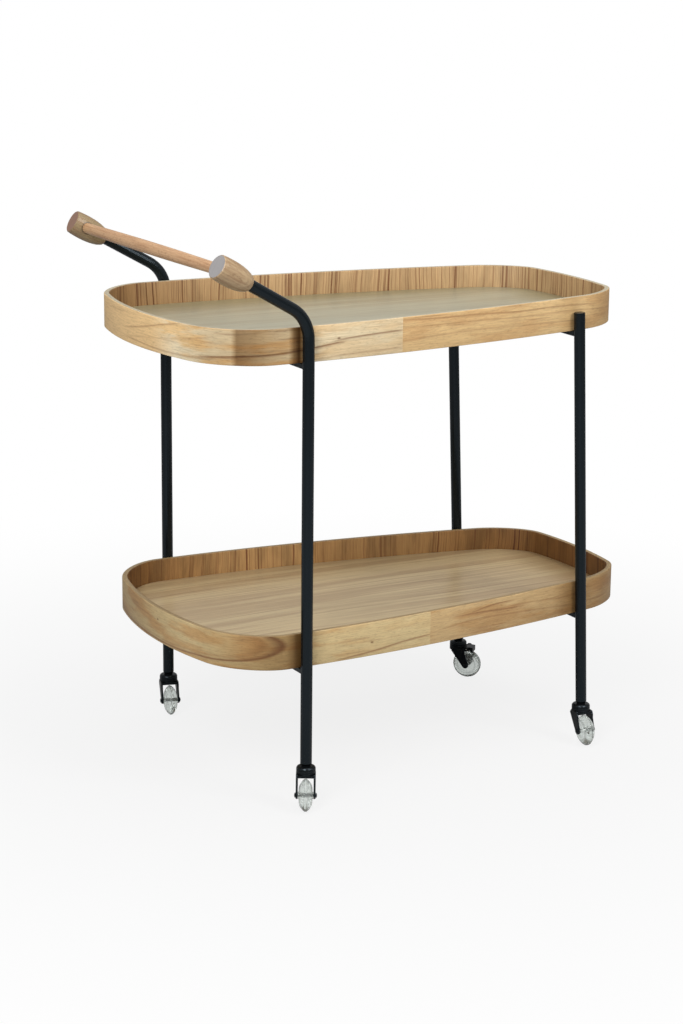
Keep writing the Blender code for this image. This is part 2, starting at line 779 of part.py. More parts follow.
def stem_mesh():
    """The steel pin that the fork turns on, from inside the crown up into the socket."""
    low = CROWN_TOP - STEM_DOWN
    high = LEG_BOTTOM + STEM_UP
    edge = STEM_RADIUS / 4
    profile = [
        (0, high),
        (STEM_RADIUS - edge, high),
        (STEM_RADIUS, high - edge),
        (STEM_RADIUS, low),
        (0, low),
    ]
    return smooth(baked(helper(turned("stem", profile, SMALL_STEPS))))


def washer_mesh():
    """The thrust washer between the socket and the crown."""
    bore = STEM_RADIUS + RUNNING_GAP
    top = WASHER_BOTTOM + WASHER_THICKNESS
    profile = [(bore, top), (WASHER_RADIUS, top), (WASHER_RADIUS, WASHER_BOTTOM), (bore, WASHER_BOTTOM)]
    return smooth(baked(helper(turned("washer", profile, CROWN_STEPS))))


def build_socket(corner, foot, nylon):
    """The plug in the foot of a leg. It leans with the tube, but its bore stands upright and the
    underside of its tapered collar is level."""
    side, end = corner.split("_")
    upper, lower = leg_line(side, end)
    inner = TUBE_RADIUS - TUBE_WALL - GAP
    fullness_share = 0.7
    bulge = SOCKET_COLLAR_RADIUS + (TUBE_RADIUS - SOCKET_COLLAR_RADIUS) * fullness_share
    profile = [
        (0, SOCKET_DEPTH),
        (inner, SOCKET_DEPTH),
        (inner, -GAP),
        (TUBE_RADIUS, -GAP),
        (bulge, (COLLAR_BOTTOM - LEG_BOTTOM) / 2),
        (SOCKET_COLLAR_RADIUS, COLLAR_BOTTOM - LEG_BOTTOM),
        (SOCKET_COLLAR_RADIUS, COLLAR_BOTTOM - LEG_BOTTOM - OVERRUN),
        (0, COLLAR_BOTTOM - LEG_BOTTOM - OVERRUN),
    ]
    plug = linked(turned(f"socket_{corner}", profile, BAR_STEPS), nylon)
    plug.location = foot
    plug.rotation_euler = (upper - lower).to_track_quat("Z", "Y").to_euler()
    half = 2 * TUBE_RADIUS
    below = (foot.x - half, foot.y - half, COLLAR_BOTTOM - half)
    level = (foot.x + half, foot.y + half, COLLAR_BOTTOM)
    combined(plug, helper(box(f"socket_{corner}_level", below, level)), "DIFFERENCE")
    low = (foot.x, foot.y, COLLAR_BOTTOM - OVERRUN)
    high = (foot.x, foot.y, LEG_BOTTOM + SOCKET_DEPTH + OVERRUN)
    drill = cylinder(f"socket_{corner}_bore", low, high, STEM_RADIUS + GAP)
    combined(plug, helper(drill), "DIFFERENCE")


def brake_lever_mesh():
    """A foot pedal behind the crown: it turns on its pin and its nose grips the wheel."""
    pivot = brake_pivot()
    axle = Vector((CASTER_TRAIL, 0, AXLE_HEIGHT))
    eye = []
    for i in range(CORNER_STEPS + 1):
        angle = pi / 2 + pi * i / CORNER_STEPS
        eye.append((BRAKE_EYE_RADIUS * cos(angle), BRAKE_EYE_RADIUS * sin(angle)))
    under = []
    reach = WHEEL_RADIUS + BRAKE_WHEEL_CLEARANCE
    for i in range(1, SHOULDER_STEPS + 1):
        x = BRAKE_LENGTH * i / SHOULDER_STEPS
        under.append((x, axle.z - pivot.z + sqrt(reach**2 - (pivot.x + x - axle.x) ** 2)))
    outline = [*eye, *under, (BRAKE_LENGTH, BRAKE_EYE_RADIUS - BRAKE_ROUNDING)]
    lever = helper(bpy.data.objects.new("lever", flat_outline("lever", outline, BRAKE_WIDTH)))
    lever.rotation_euler = (pi / 2, 0, 0)
    rounded(lever, BRAKE_ROUNDING, PLATE_BEVEL_ANGLE)
    side = Vector((0, BRAKE_WIDTH / 2 + OVERRUN, 0))
    drill = helper(cylinder("drill", -side, side, BRAKE_PIN_RADIUS + RUNNING_GAP))
    combined(lever, drill, "DIFFERENCE")
    turn = lever.rotation_euler.to_matrix().to_4x4()
    mesh = baked(lever)
    mesh.transform(turn)
    drop([drill])
    return smooth(mesh)


def pivot_empty(name, place, parent=None, heading=0.0):
    """An empty on a joint's axis."""
    empty = bpy.data.objects.new(name, None)
    COLLECTION.objects.link(empty)
    empty.parent = parent
    empty.location = place
    empty.rotation_euler = (0, 0, heading)
    return empty


def seated(name, mesh, parent, material, place=(0, 0, 0)):
    """An object that shares a caster's mesh and hangs from its empty."""
    obj = linked(bpy.data.objects.new(name, mesh), material)
    obj.parent = parent
    obj.location = place
    return obj


def build_casters(nylon, clear, steel):
    forks = {braked: fork_mesh(braked) for braked in (False, True)}
    wheel, axle, stem, washer = wheel_mesh(), axle_mesh(), stem_mesh(), washer_mesh()
    for corner, heading in TRAIL_HEADINGS.items():
        side, end = corner.split("_")
        foot = leg_foot(side, end)
        place = (foot.x, foot.y, 0)
        fixed = pivot_empty(f"foot_{corner}", place)
        build_socket(corner, foot, nylon)
        seated(f"caster_{corner}_stem", stem, fixed, steel)
        seated(f"caster_{corner}_washer", washer, fixed, nylon)
        swivel = pivot_empty(f"swivel_{corner}", place, heading=radians(heading))
        seated(f"caster_{corner}_fork", forks[corner == BRAKED], swivel, nylon)
        at_axle = (CASTER_TRAIL, 0, AXLE_HEIGHT)
        seated(f"caster_{corner}_axle", axle, swivel, nylon, at_axle)
        seated(f"caster_{corner}_wheel", wheel, swivel, clear, at_axle)
        if corner == BRAKED:
            build_brake(swivel, nylon, steel)


def build_brake(swivel, nylon, steel):
    pivot = brake_pivot()
    seated("brake_lever", brake_lever_mesh(), swivel, nylon, pivot)
    half = Vector((0, ARM_OUTER - ARM_ROUNDING, 0))
    mesh = smooth(baked(helper(cylinder("pin", -half, half, BRAKE_PIN_RADIUS, SMALL_STEPS))))
    seated("brake_pin", mesh, swivel, steel, pivot)


def main():
    clear_scene()
    rim_wood = finish("rim veneer, lacquered", "#C9A56C", 0.45)
    upper_wood = finish("upper panel veneer, lacquered", "#B3A585", 0.5)
    lower_wood = finish("lower panel veneer, lacquered", "#B89D78", 0.5)
    beech = finish("turned beech, satin lacquer", "#C29468", 0.42)
    coated = finish("black powder coat", "#1E2629", 0.42)
    nylon = finish("black moulded nylon", "#1B1F20", 0.5)
    clear = finish("clear polyurethane", "#DCE2E0", 0.12, transmission=0.9, ior=1.49)
    steel = finish("zinc-plated steel", "#A9ABA8", 0.35, metallic=1.0)
    for tier, centre, height, panel in (
        ("upper", UPPER_CENTRE, UPPER_TRAY_HEIGHT, upper_wood),
        ("lower", LOWER_CENTRE, LOWER_TRAY_HEIGHT, lower_wood),
    ):
        build_rim(f"{tier}_rim", centre, height, rim_wood)
        screws = rail_screws("left", height) + rail_screws("right", height)
        build_floor(f"{tier}_floor", centre, height, screws, panel)
        for end in ("left", "right"):
            build_rail(tier, end, height, coated, steel)
    build_legs(coated)
    build_caps(beech)
    build_bar(beech)
    build_casters(nylon, clear, steel)


main()
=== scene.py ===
"""Looks of the two-tier bar cart: veneered trays, powder-coated tube frame, turned handle, clear
wheels, and the studio they stand in. Laid out as an add-on and run as a script. Lengths are metres."""

from math import atan2, cos, hypot, pi, radians, sin

import bmesh
import bpy
from mathutils import Matrix, Vector


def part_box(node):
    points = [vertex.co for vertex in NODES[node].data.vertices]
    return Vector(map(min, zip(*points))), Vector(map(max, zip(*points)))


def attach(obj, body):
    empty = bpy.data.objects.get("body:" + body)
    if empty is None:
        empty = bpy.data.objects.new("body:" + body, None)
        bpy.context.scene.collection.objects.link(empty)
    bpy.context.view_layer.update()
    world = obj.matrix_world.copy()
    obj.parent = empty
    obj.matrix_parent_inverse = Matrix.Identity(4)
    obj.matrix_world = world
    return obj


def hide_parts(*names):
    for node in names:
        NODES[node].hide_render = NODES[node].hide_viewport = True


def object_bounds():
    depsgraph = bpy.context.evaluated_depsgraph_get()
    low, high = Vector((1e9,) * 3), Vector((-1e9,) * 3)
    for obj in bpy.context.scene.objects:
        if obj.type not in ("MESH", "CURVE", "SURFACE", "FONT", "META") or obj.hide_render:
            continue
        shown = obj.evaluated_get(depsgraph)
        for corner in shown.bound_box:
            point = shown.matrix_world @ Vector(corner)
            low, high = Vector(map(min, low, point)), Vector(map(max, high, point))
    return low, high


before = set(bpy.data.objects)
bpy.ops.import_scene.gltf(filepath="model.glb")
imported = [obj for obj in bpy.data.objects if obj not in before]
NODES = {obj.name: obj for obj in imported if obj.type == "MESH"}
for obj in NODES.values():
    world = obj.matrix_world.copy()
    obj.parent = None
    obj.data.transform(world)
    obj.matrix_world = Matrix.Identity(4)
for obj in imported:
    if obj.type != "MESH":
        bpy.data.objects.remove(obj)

bl_info = {
    "name": "Bar Cart Looks",
    "version": (1, 0, 0),
    "blender": (4, 5, 0),
    "location": "3D View > Sidebar > Bar Cart",
    "description": "Builds the finished pieces of a two-tier bar cart and the studio round it",
    "category": "Object",
}

CAD_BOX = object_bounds()
MM = 0.001

# Outline of a tray in plan, as the packed solids have it
TRAY_LENGTH = 0.800
TRAY_WIDTH = 0.454
TRAY_CORNER_RADIUS = 0.081
TRAY_TAPER_SHARE = 0.1735
SIDE_BOW = 0.0256
HANDLE_END_BOW = 0.0472
FAR_END_BOW = 0.0188
RIM_THICKNESS = 0.009
HALF_LENGTH = TRAY_LENGTH / 2
HALF_WIDTH = TRAY_WIDTH / 2

# How finely the band is divided: half a long side, a corner, a short end, one rounded edge
HALF_SIDE_STEPS = 40
CORNER_STEPS = 28
END_STEPS = 36
ROUNDING_STEPS = 3

# The caps lie along the arms of the frame, which rise this steeply
ARM_SLOPE = atan2(0.0875, 0.155)

# Radius of the bar where it enters the caps, and how far the painted shade round it spreads there
BAR_END_RADIUS = 0.0084
HOLE_SHADE_WIDTH = 3 * MM

# How deep a streak of the beech reaches
BEECH_DEPTH = 6.5 * MM

# Bluish gloss of the powder coat and the nylon, and the roughness of the powder coat between its peel
BLACK_GLOSS = (0.72, 0.88, 1.0, 1)
POWDER_ROUGHNESS = 0.24

# Radii of the dark rings painted in a clear wheel where its hub and the step where the tread begins bend
# the light, and how far a ring spreads
WHEEL_HUB = 0.009
WHEEL_WEB = 0.0185
WHEEL_RING_WIDTH = 1.6 * MM

# Share of each octave that is left in the next finer one, in every noise of the wood
NOISE_ROUGHNESS = 0.58

# Each tray's own place in the grain
GRAIN_SEED = {"upper": 3.7, "lower": 11.2}

# Where the ends of the two veneer sheets meet on the front of each band, along the tray from its middle
FRONT_JOINTS = {"upper": -0.0635, "lower": -0.0275}

# Growth lines that show on the outside of a band: three points that each passes through, then how dark it
# is. A point is a run, from the middle of the rear side round by the handle end, and a height
ARCS = {
    "upper": (
        (((0.555, 0.026), (0.650, 0.040), (0.715, 0.052)), 0.5),
        (((0.570, 0.014), (0.660, 0.024), (0.780, 0.040)), 0.25),
        (((0.555, 0.0105), (0.680, 0.0085), (0.790, 0.0100)), 0.45),
        (((0.755, 0.0110), (0.900, 0.0195), (0.990, 0.0270)), 0.85),
        (((0.975, 0.0285), (1.035, 0.0350), (1.093, 0.0370)), 0.75),
        (((0.900, 0.0040), (1.000, 0.0085), (1.093, 0.0115)), 0.35),
        (((1.094, 0.0470), (1.250, 0.0440), (1.480, 0.0395)), 0.5),
        (((1.110, 0.0350), (1.300, 0.0330), (1.520, 0.0290)), 0.35),
        (((1.100, 0.0160), (1.260, 0.0200), (1.460, 0.0130)), 0.3),
    ),
    "lower": (
        (((0.640, 0.0020), (0.700, 0.0040), (0.760, 0.0085)), 0.3),
        (((0.960, 0.0040), (1.030, 0.0100), (1.129, 0.0150)), 0.7),
        (((1.214, 0.0395), (1.240, 0.0440), (1.290, 0.0475)), 0.7),
        (((1.185, 0.0385), (1.240, 0.0365), (1.310, 0.0350)), 0.75),
        (((1.150, 0.0230), (1.280, 0.0265), (1.420, 0.0180)), 0.35),
    ),
}

# Run over which a growth line fades out at its end. It fades in over twice as much
ARC_FADE = 0.030

# Heights over a growth line's course between which it darkens, and between which it ends
LATE_WOOD_ONSET = (-3.4 * MM, 0.6 * MM)
LATE_WOOD_END = (0.0, 2 * MM)

# The drawn-out tongue of heartwood beside the front left leg of the lower tray: run and height of its
# centre, half its width, and how many times longer than wide it is
TONGUE = (0.600, 0.040, 0.0384, 6.85)

# Small knots, as run and height. Each is longer along the grain, and fades between two distances
KNOTS = {"upper": ((0.981, 0.032),), "lower": ((0.6025, 0.036), (1.02, 0.0215))}
KNOT_PROPORTIONS = (0.6, 1, 0)
KNOT_EDGE = (0.4 * MM, 2.6 * MM)

# Runs between which gold comes up towards the tip of the tongue, and between which it comes up and goes
# round the handle end of the upper band
TONGUE_GOLD_BEGINS = (0.74, 0.84)
HANDLE_GOLD_BEGINS = (0.32, 0.44)
HANDLE_GOLD_ENDS = (0.63, 0.73)

# How far before the joint the gold of the handle-end sheet begins to fade, and how far before it stops
GOLD_FADES = (0.20, 0.10)

# Inside each band, how much of a stripe is left between the groups, and how dark the fields are
INNER_FIGURE = {"upper": (0.55, 0.55), "lower": (0.15, 0.85)}

# Specular level of the sanded edges
EDGE_GLOSS = {"upper": 0.4, "lower": 0.2}

# On each panel, how dark its broad streaks, its narrow streaks and the painted reflection and shade of the
# band at the rear are
PANEL_DEPTHS = {"upper": (0.45, 0.7, 0.8), "lower": (0.55, 0.85, 0.42)}

# Distances from the middle of a panel between which the painted reflection and shade of the band deepen, to
# the rear and to both ends
REAR_BAND_REFLECTION = (0.125, 0.215)
FAR_BAND_REFLECTION = (0.30, 0.39)
HANDLE_BAND_REFLECTION = (-0.34, -0.39)

# How the veneer's tone and painted light and shade run along the outside and the inside of each band, as
# run and share of the full tone. The low shares are painted shade beside a leg, in the corners, inside the
# ends and in a patch left of the front left leg on the upper band. The rest mixes the veneer's own tone
# with painted light and shade
OUTER_TONE_AND_SHADE = {
    "upper": (
        (0.30, 0.90),
        (0.50, 1.00),
        (0.70, 1.00),
        (0.77, 0.68),
        (0.812, 0.58),
        (0.814, 0.22),
        (0.845, 0.30),
        (0.875, 0.46),
        (0.900, 0.55),
        (0.907, 0.05),
        (0.917, 0.05),
        (0.928, 0.81),
        (1.093, 0.73),
        (1.094, 0.80),
        (1.30, 0.81),
        (1.395, 0.86),
        (1.42, 0.74),
        (1.436, 0.70),
        (1.455, 0.85),
        (1.50, 0.68),
        (1.70, 0.60),
        (2.00, 0.90),
    ),
    "lower": (
        (0.30, 0.60),
        (0.50, 0.70),
        (0.60, 0.85),
        (0.70, 1.00),
        (0.78, 0.75),
        (0.85, 0.45),
        (0.872, 0.42),
        (0.884, 0.18),
        (0.904, 0.14),
        (0.914, 0.92),
        (1.128, 1.00),
        (1.30, 1.00),
        (1.38, 0.85),
        (1.41, 0.50),
        (1.43, 0.40),
        (1.455, 0.85),
        (1.50, 0.60),
        (1.70, 0.55),
        (2.00, 0.90),
    ),
}
INNER_TONE_AND_SHADE = {
    "upper": (
        (0.00, 0.92),
        (0.13, 0.80),
        (0.20, 0.75),
        (0.32, 0.45),
        (0.50, 0.50),
        (1.60, 0.80),
        (1.85, 1.00),
        (2.04, 0.86),
    ),
    "lower": (
        (0.00, 1.00),
        (0.16, 0.95),
        (0.22, 0.75),
        (0.33, 0.40),
        (0.60, 0.40),
        (1.50, 0.30),
        (1.75, 0.32),
        (1.95, 0.55),
        (2.04, 0.80),
    ),
}

# The run that a ramp of tones and painted shade covers. It has 256 steps, so stops less than 9 mm apart
# blur
TONE_REACH = 2.25

# Powers for red, green and blue, by which deep tones and painted shade keep red and lose blue
DEEP_TINT = (0.84, 1.06, 1.36)

# Half the side of the floor
FLOOR_HALF = 12.0

# Distances from the middle of the floor between which its shadow fades out, and the share of plain white
# that shows before them
SHADOW_FADES = (0.3, 1.6)
SHADOW_WHITE = 0.84

# Place and side of each soft box
LAMPS = {
    "front_lamp": ((1.25, -2.7, 2.6), 1.1),
    "left_lamp": ((-2.3, -1.9, 2.4), 1.4),
    "top_lamp": ((0.2, -0.3, 2.9), 2.2),
}

# Where the lamps and the camera look, and the width of the camera's sensor in millimetres
LOOK_AT = Vector((-0.0499, 0, 0.3857))
SENSOR_WIDTH = 36


def linear_rgb(hex_colour):
    """The linear red, green and blue of an sRGB hex colour."""
    values = [int(hex_colour[i : i + 2], 16) / 255 for i in (1, 3, 5)]
    return tuple(v / 12.92 if v <= 0.04045 else ((v + 0.055) / 1.055) ** 2.4 for v in values)


def colour_property(name, description, hex_colour):
    """A colour that a user can change, shown as a swatch."""
    return bpy.props.FloatVectorProperty(
        name=name,
        description=description,
        default=linear_rgb(hex_colour),
        subtype="COLOR",
        size=3,
        min=0,
        max=1,
    )


def length_property(name, description, default):
    """A length that a user can change."""
    return bpy.props.FloatProperty(
        name=name, description=description, default=default, unit="LENGTH", subtype="DISTANCE", min=0
    )


# Settings a user can change


class BarCartVeneer(bpy.types.PropertyGroup):
    """Colours and grain of the veneered trays."""

    handle_sheet_upper: colour_property("Handle-end sheet, upper", "Pale veneer at the handle", "#DDCFB0")
    handle_heart_upper: colour_property("Handle-end heart, upper", "Gold in that sheet", "#DAB073")
    far_sheet_upper: colour_property("Far-end sheet, upper", "Tan veneer at the far end", "#D5B787")
    far_heart_upper: colour_property("Far-end heart, upper", "Redder areas of that sheet", "#C9A474")
    # The lower band's colours, inside and on its edges too, are darker than the upper's: partly the
    # veneer's own tone, partly painted shade under the upper tray
    handle_sheet_lower: colour_property("Handle-end sheet, lower", "Pale veneer at the handle", "#BEA97E")
    handle_heart_lower: colour_property("Handle-end heart, lower", "Gold in that sheet", "#B08958")
    far_sheet_lower: colour_property("Far-end sheet, lower", "Tan veneer at the far end", "#B5996E")
    far_heart_lower: colour_property("Far-end heart, lower", "Redder areas of that sheet", "#A47F52")
    growth_line: colour_property("Growth line", "Dark line of late wood on the outside", "#7A5236")
    inner_upper: colour_property("Inside, upper", "Cross-grain veneer inside the band", "#BA9B72")
    inner_lower: colour_property("Inside, lower", "Cross-grain veneer inside the band", "#AB8556")
    inner_line: colour_property("Inner stripe", "Reddish brown stripe inside the bands", "#6B4128")
    # The grey of the upper panel's colours is painted sheen of the room in its lacquer, over the veneer's
    # tone
    panel_upper: colour_property("Panel, upper", "Veneer of the panel", "#9F9B85")
    panel_lower: colour_property("Panel, lower", "Veneer of the panel", "#C4AE85")
    # painted reflection and shade of the band on the panel near its foot
    panel_band_reflection_upper: colour_property("Panel cast, upper", "The panel near its band", "#7A7150")
    panel_band_reflection_lower: colour_property("Panel cast, lower", "The panel near its band", "#775D3C")
    panel_streak_upper: colour_property("Panel streak, upper", "Darker streaks along it", "#84785D")
    panel_streak_lower: colour_property("Panel streak, lower", "Darker streaks along it", "#977A5A")
    edge_upper: colour_property("Sanded edge, upper", "Top and bottom edge of the band", "#B3A88E")
    edge_lower: colour_property("Sanded edge, lower", "Top and bottom edge of the band", "#9A825C")
    rounding: length_property("Edge rounding", "Radius of the rounded edges of a band", 1.2 * MM)
    leaf_width: length_property("Leaf width", "Width of one veneer leaf on a panel", 112 * MM)


class BarCartFrame(bpy.types.PropertyGroup):
    """Finish of the metal frame, the handle and the casters."""

    powder: colour_property("Powder coat", "Satin black of tubes and rails", "#080D10")
    powder_grain: length_property("Powder grain", "Spacing of the orange-peel texture", 1.4 * MM)
    bar: colour_property("Handle bar", "Turned and lacquered beech", "#BC9670")
    bar_late: colour_property("Handle bar, late wood", "Darker grain of the bar", "#A67C58")
    cap_front: colour_property("Front cap", "Stained beech of the cap at the front", "#A48C6B")
    # The rear cap's colour is darker than the front's: painted shade over the same stained beech
    cap_rear: colour_property("Rear cap", "Stained beech of the cap at the rear", "#867354")
    cap_late: colour_property("Handle caps, late wood", "Darker grain of the caps", "#85684A")
    end_grain_front: colour_property("End grain, front", "Flat end of the front cap", "#8F8C8C")
    end_grain_rear: colour_property("End grain, rear", "Flat end of the rear cap", "#86624E")
    nylon: colour_property("Nylon", "Moulded forks, collars and pedal", "#08090B")
    clear: colour_property("Clear wheel", "Tint of the cast wheels", "#DEE4E0")
    zinc: colour_property("Zinc", "Plated screws, stems and pin", "#C2C4C6")


class BarCartStudio(bpy.types.PropertyGroup):
    """Camera, lamps and floor."""

    azimuth: bpy.props.FloatProperty(
        name="Camera azimuth",
        description="Turn round the cart, 0 looks along +Y",
        default=radians(-28.65),
        subtype="ANGLE",
    )
    elevation: bpy.props.FloatProperty(
        name="Camera elevation",
        description="Height above the horizon",
        default=radians(14.31),
        subtype="ANGLE",
    )
    roll: bpy.props.FloatProperty(
        name="Camera roll", description="Tilt of the picture", default=radians(0.591), subtype="ANGLE"
    )
    distance: length_property("Camera distance", "From the target to the camera", 3.9136)
    lens: bpy.props.FloatProperty(
        name="Focal length",
        description="Lens of the camera in millimetres",
        default=85.07,
        unit="CAMERA",
        min=1,
    )
    floor: colour_property("Floor", "Pale studio floor", "#B0B0B0")
    sky: bpy.props.FloatProperty(
        name="Room light", description="Strength of the even light from all round", default=0.38, min=0
    )
    sky_in_gloss: bpy.props.FloatProperty(
        name="Room in gloss", description="How white the room shows in gloss", default=0.2, min=0, max=1
    )
    front_lamp: bpy.props.FloatProperty(
        name="Front lamp",
        description="Power of the soft box at the front right",
        default=62,
        unit="POWER",
        min=0,
    )
    left_lamp: bpy.props.FloatProperty(
        name="Left lamp",
        description="Power of the soft box at the front left",
        default=93,
        unit="POWER",
        min=0,
    )
    top_lamp: bpy.props.FloatProperty(
        name="Top lamp", description="Power of the soft box overhead", default=30, unit="POWER", min=0
    )


SETTINGS = {
    "bar_cart_veneer": BarCartVeneer,
    "bar_cart_frame": BarCartFrame,
    "bar_cart_studio": BarCartStudio,
}


# Nodes and materials

# A range that eases in and out
SMOOTH = {"interpolation_type": "SMOOTHSTEP"}


def add(tree, kind, *values, stops=(), out=None, **settings):
    """Adds a shader node and gives its output. The values, which are numbers or other nodes' outputs, fill
    the inputs in use in their order, and None leaves one as it is."""
    made = tree.nodes.new(f"ShaderNode{kind}")
    for name, value in settings.items():
        setattr(made, name, value)
    for socket, value in zip([s for s in made.inputs if s.enabled], values):
        if isinstance(value, bpy.types.NodeSocket):
            tree.links.new(value, socket)
        elif value is not None:
            socket.default_value = value
    for i, (place, shade) in enumerate(stops):
        element = made.color_ramp.elements[i] if i < 2 else made.color_ramp.elements.new(place)
        element.position = place
        element.color = (shade, shade, shade, 1)
    if out:
        return made.outputs[out]
    return next((s for s in made.outputs if s.enabled), None)


def surface(name, **sockets):
    """A new material, its node tree and its shader, with the shader's plain values set."""
    material = bpy.data.materials.new(name)
    material.use_nodes = True
    tree = material.node_tree
    shader = tree.nodes["Principled BSDF"]
    for key, value in sockets.items():
        shader.inputs[key.replace("_", " ")].default_value = value
    return material, tree, shader


def rgba(colour, shade=1.0):
    """A colour for a socket, darkened by a share."""
    return (*(v * shade for v in colour), 1)


def coated(tree, shader, colour, height, depth, share):
    """Gives a shader its colour, and a share of a relief this deep."""
    tree.links.new(colour, shader.inputs["Base Color"])
    tree.links.new(add(tree, "Bump", share, depth, None, height), shader.inputs["Normal"])


def marks(tree, place, length, width, fewest, most, seed=0.0, faint=0.0, full=1.0, detail=3):
    """Uneven marks in the wood, about as long and as wide as given. They show faint below the fewest level
    of their noise, and are full from the most."""
    spread = add(tree, "Mapping", place, (0, 0, seed), None, (1 / length, 1 / width, 1))
    cloud = add(tree, "TexNoise", spread, 1, detail, NOISE_ROUGHNESS)
    return add(tree, "MapRange", cloud, fewest, most, faint, full, **SMOOTH)


def deepest(tree, levels):
    """The greatest of several levels at each place."""
    level = levels[0]
    for other in levels[1:]:
        level = add(tree, "Math", level, other, operation="MAXIMUM")
    return level


def late_wood(tree, away, darkness):
    """How dark a growth line is this far above its course: it darkens over 4 mm and ends within 2 mm."""
    onset = add(tree, "MapRange", away, *LATE_WOOD_ONSET, 0.0, darkness, **SMOOTH)
    end = add(tree, "MapRange", away, *LATE_WOOD_END, 1.0, 0.0, **SMOOTH)
    return add(tree, "Math", onset, end, operation="MULTIPLY")


def parabola(points):
    """The factors a, b and c of a + b x + c x² through three points."""
    (x0, y0), (x1, y1), (x2, y2) = points
    slope_01 = (y1 - y0) / (x1 - x0)
    c = ((y2 - y0) / (x2 - x0) - slope_01) / (x2 - x1)
    b = slope_01 - c * (x0 + x1)
    return y0 - b * x0 - c * x0**2, b, c


def growth_arc(tree, run, height, points, darkness):
    """One growth line through three points, which fades out at its two ends."""
    a, b, c = parabola(points)
    slope = add(tree, "Math", run, c, b, operation="MULTIPLY_ADD")
    level = add(tree, "Math", run, slope, a, operation="MULTIPLY_ADD")
    away = add(tree, "Math", height, level, operation="SUBTRACT")
    drawn = late_wood(tree, away, darkness)
    first, last = points[0][0], points[-1][0]
    begun = add(tree, "MapRange", run, first - ARC_FADE, first + ARC_FADE, 0, 1, **SMOOTH)
    unended = add(tree, "MapRange", run, last - ARC_FADE / 2, last + ARC_FADE / 2, 1, 0, **SMOOTH)
    kept = add(tree, "Math", begun, unended, operation="MULTIPLY")
    return add(tree, "Math", drawn, kept, operation="MULTIPLY")


def tongue_of_heartwood(tree, run, height):
    """The distance out of the tongue's outline, less than zero in it."""
    centre_run, centre_height, half_width, stretch = TONGUE
    along = add(tree, "Math", run, centre_run, operation="SUBTRACT")
    shortened = add(tree, "Math", along, stretch, operation="DIVIDE")
    across = add(tree, "Math", height, centre_height, operation="SUBTRACT")
    from_centre = add(tree, "VectorMath", add(tree, "CombineXYZ", shortened, across), operation="LENGTH")
    return add(tree, "Math", from_centre, half_width, operation="SUBTRACT")


def figured(tree, tier, own, run, height):
    """The figure on the outside of a band: its dark lines, and how golden the wood is between them."""
    seed = GRAIN_SEED[tier]
    # the lines wander 2.5 mm to either side over a hand's breadth
    wander = marks(tree, own, 160 * MM, 60 * MM, 0.25, 0.75, seed, faint=-2.5 * MM, full=2.5 * MM, detail=0)
    swayed = add(tree, "Math", height, wander, operation="ADD")
    lines = [growth_arc(tree, run, swayed, points, darkness) for points, darkness in ARCS[tier]]
    # fainter streaks 4 mm wide and some 95 mm long run between the drawn lines, thicker in some banks
    banks = marks(tree, own, 200 * MM, 18 * MM, 0.38, 0.62, seed + 1, faint=0.25)
    streaks = marks(tree, own, 95 * MM, 4.2 * MM, 0.50, 0.74, seed, full=0.5, detail=4)
    lines.append(add(tree, "Math", streaks, banks, operation="MULTIPLY"))
    gold = marks(tree, own, 110 * MM, 22 * MM, 0.42, 0.62, seed + 2, full=0.75)
    if tier == "lower":
        # the tongue has a bold outline with a faint one 4 mm inside it, and is golden towards its tip
        outside = tongue_of_heartwood(tree, run, swayed)
        lines.append(late_wood(tree, outside, 0.85))
        lines.append(late_wood(tree, add(tree, "Math", outside, 4 * MM, operation="ADD"), 0.3))
        begun = add(tree, "MapRange", run, *TONGUE_GOLD_BEGINS, 0, 0.9, **SMOOTH)
        unended = add(tree, "MapRange", outside, -5 * MM, 0, 1, 0, **SMOOTH)
    else:
        # the sheet is golden round the handle end
        begun = add(tree, "MapRange", run, *HANDLE_GOLD_BEGINS, 0.0, 1.0, **SMOOTH)
        unended = add(tree, "MapRange", run, *HANDLE_GOLD_ENDS, 0.75, 0.0, **SMOOTH)
    drawn_gold = add(tree, "Math", unended, begun, operation="MULTIPLY")
    return deepest(tree, lines), add(tree, "Math", gold, drawn_gold, operation="MAXIMUM")


def knotted(tree, tier, place, wood, line):
    """The wood with its knots, each a dark eye drawn out along the grain."""
    for knot in KNOTS[tier]:
        off = add(tree, "VectorMath", place, (*knot, 0), operation="SUBTRACT")
        rounded = add(tree, "VectorMath", off, KNOT_PROPORTIONS, operation="MULTIPLY")
        away = add(tree, "VectorMath", rounded, operation="LENGTH")
        eye = add(tree, "MapRange", away, *KNOT_EDGE, 0.8, 0.0, **SMOOTH)
        wood = add(tree, "Mix", eye, wood, rgba(line, 0.7), data_type="RGBA")
    return wood


def tone_and_shade_along(tree, run, tones):
    """The tint of the veneer at this run along a band, which is warmer where it is deeper."""
    share = add(tree, "Math", run, TONE_REACH, operation="DIVIDE")
    level = add(tree, "ValToRGB", share, stops=[(place / TONE_REACH, shade) for place, shade in tones])
    return add(tree, "VectorMath", level, DEEP_TINT, operation="POWER")


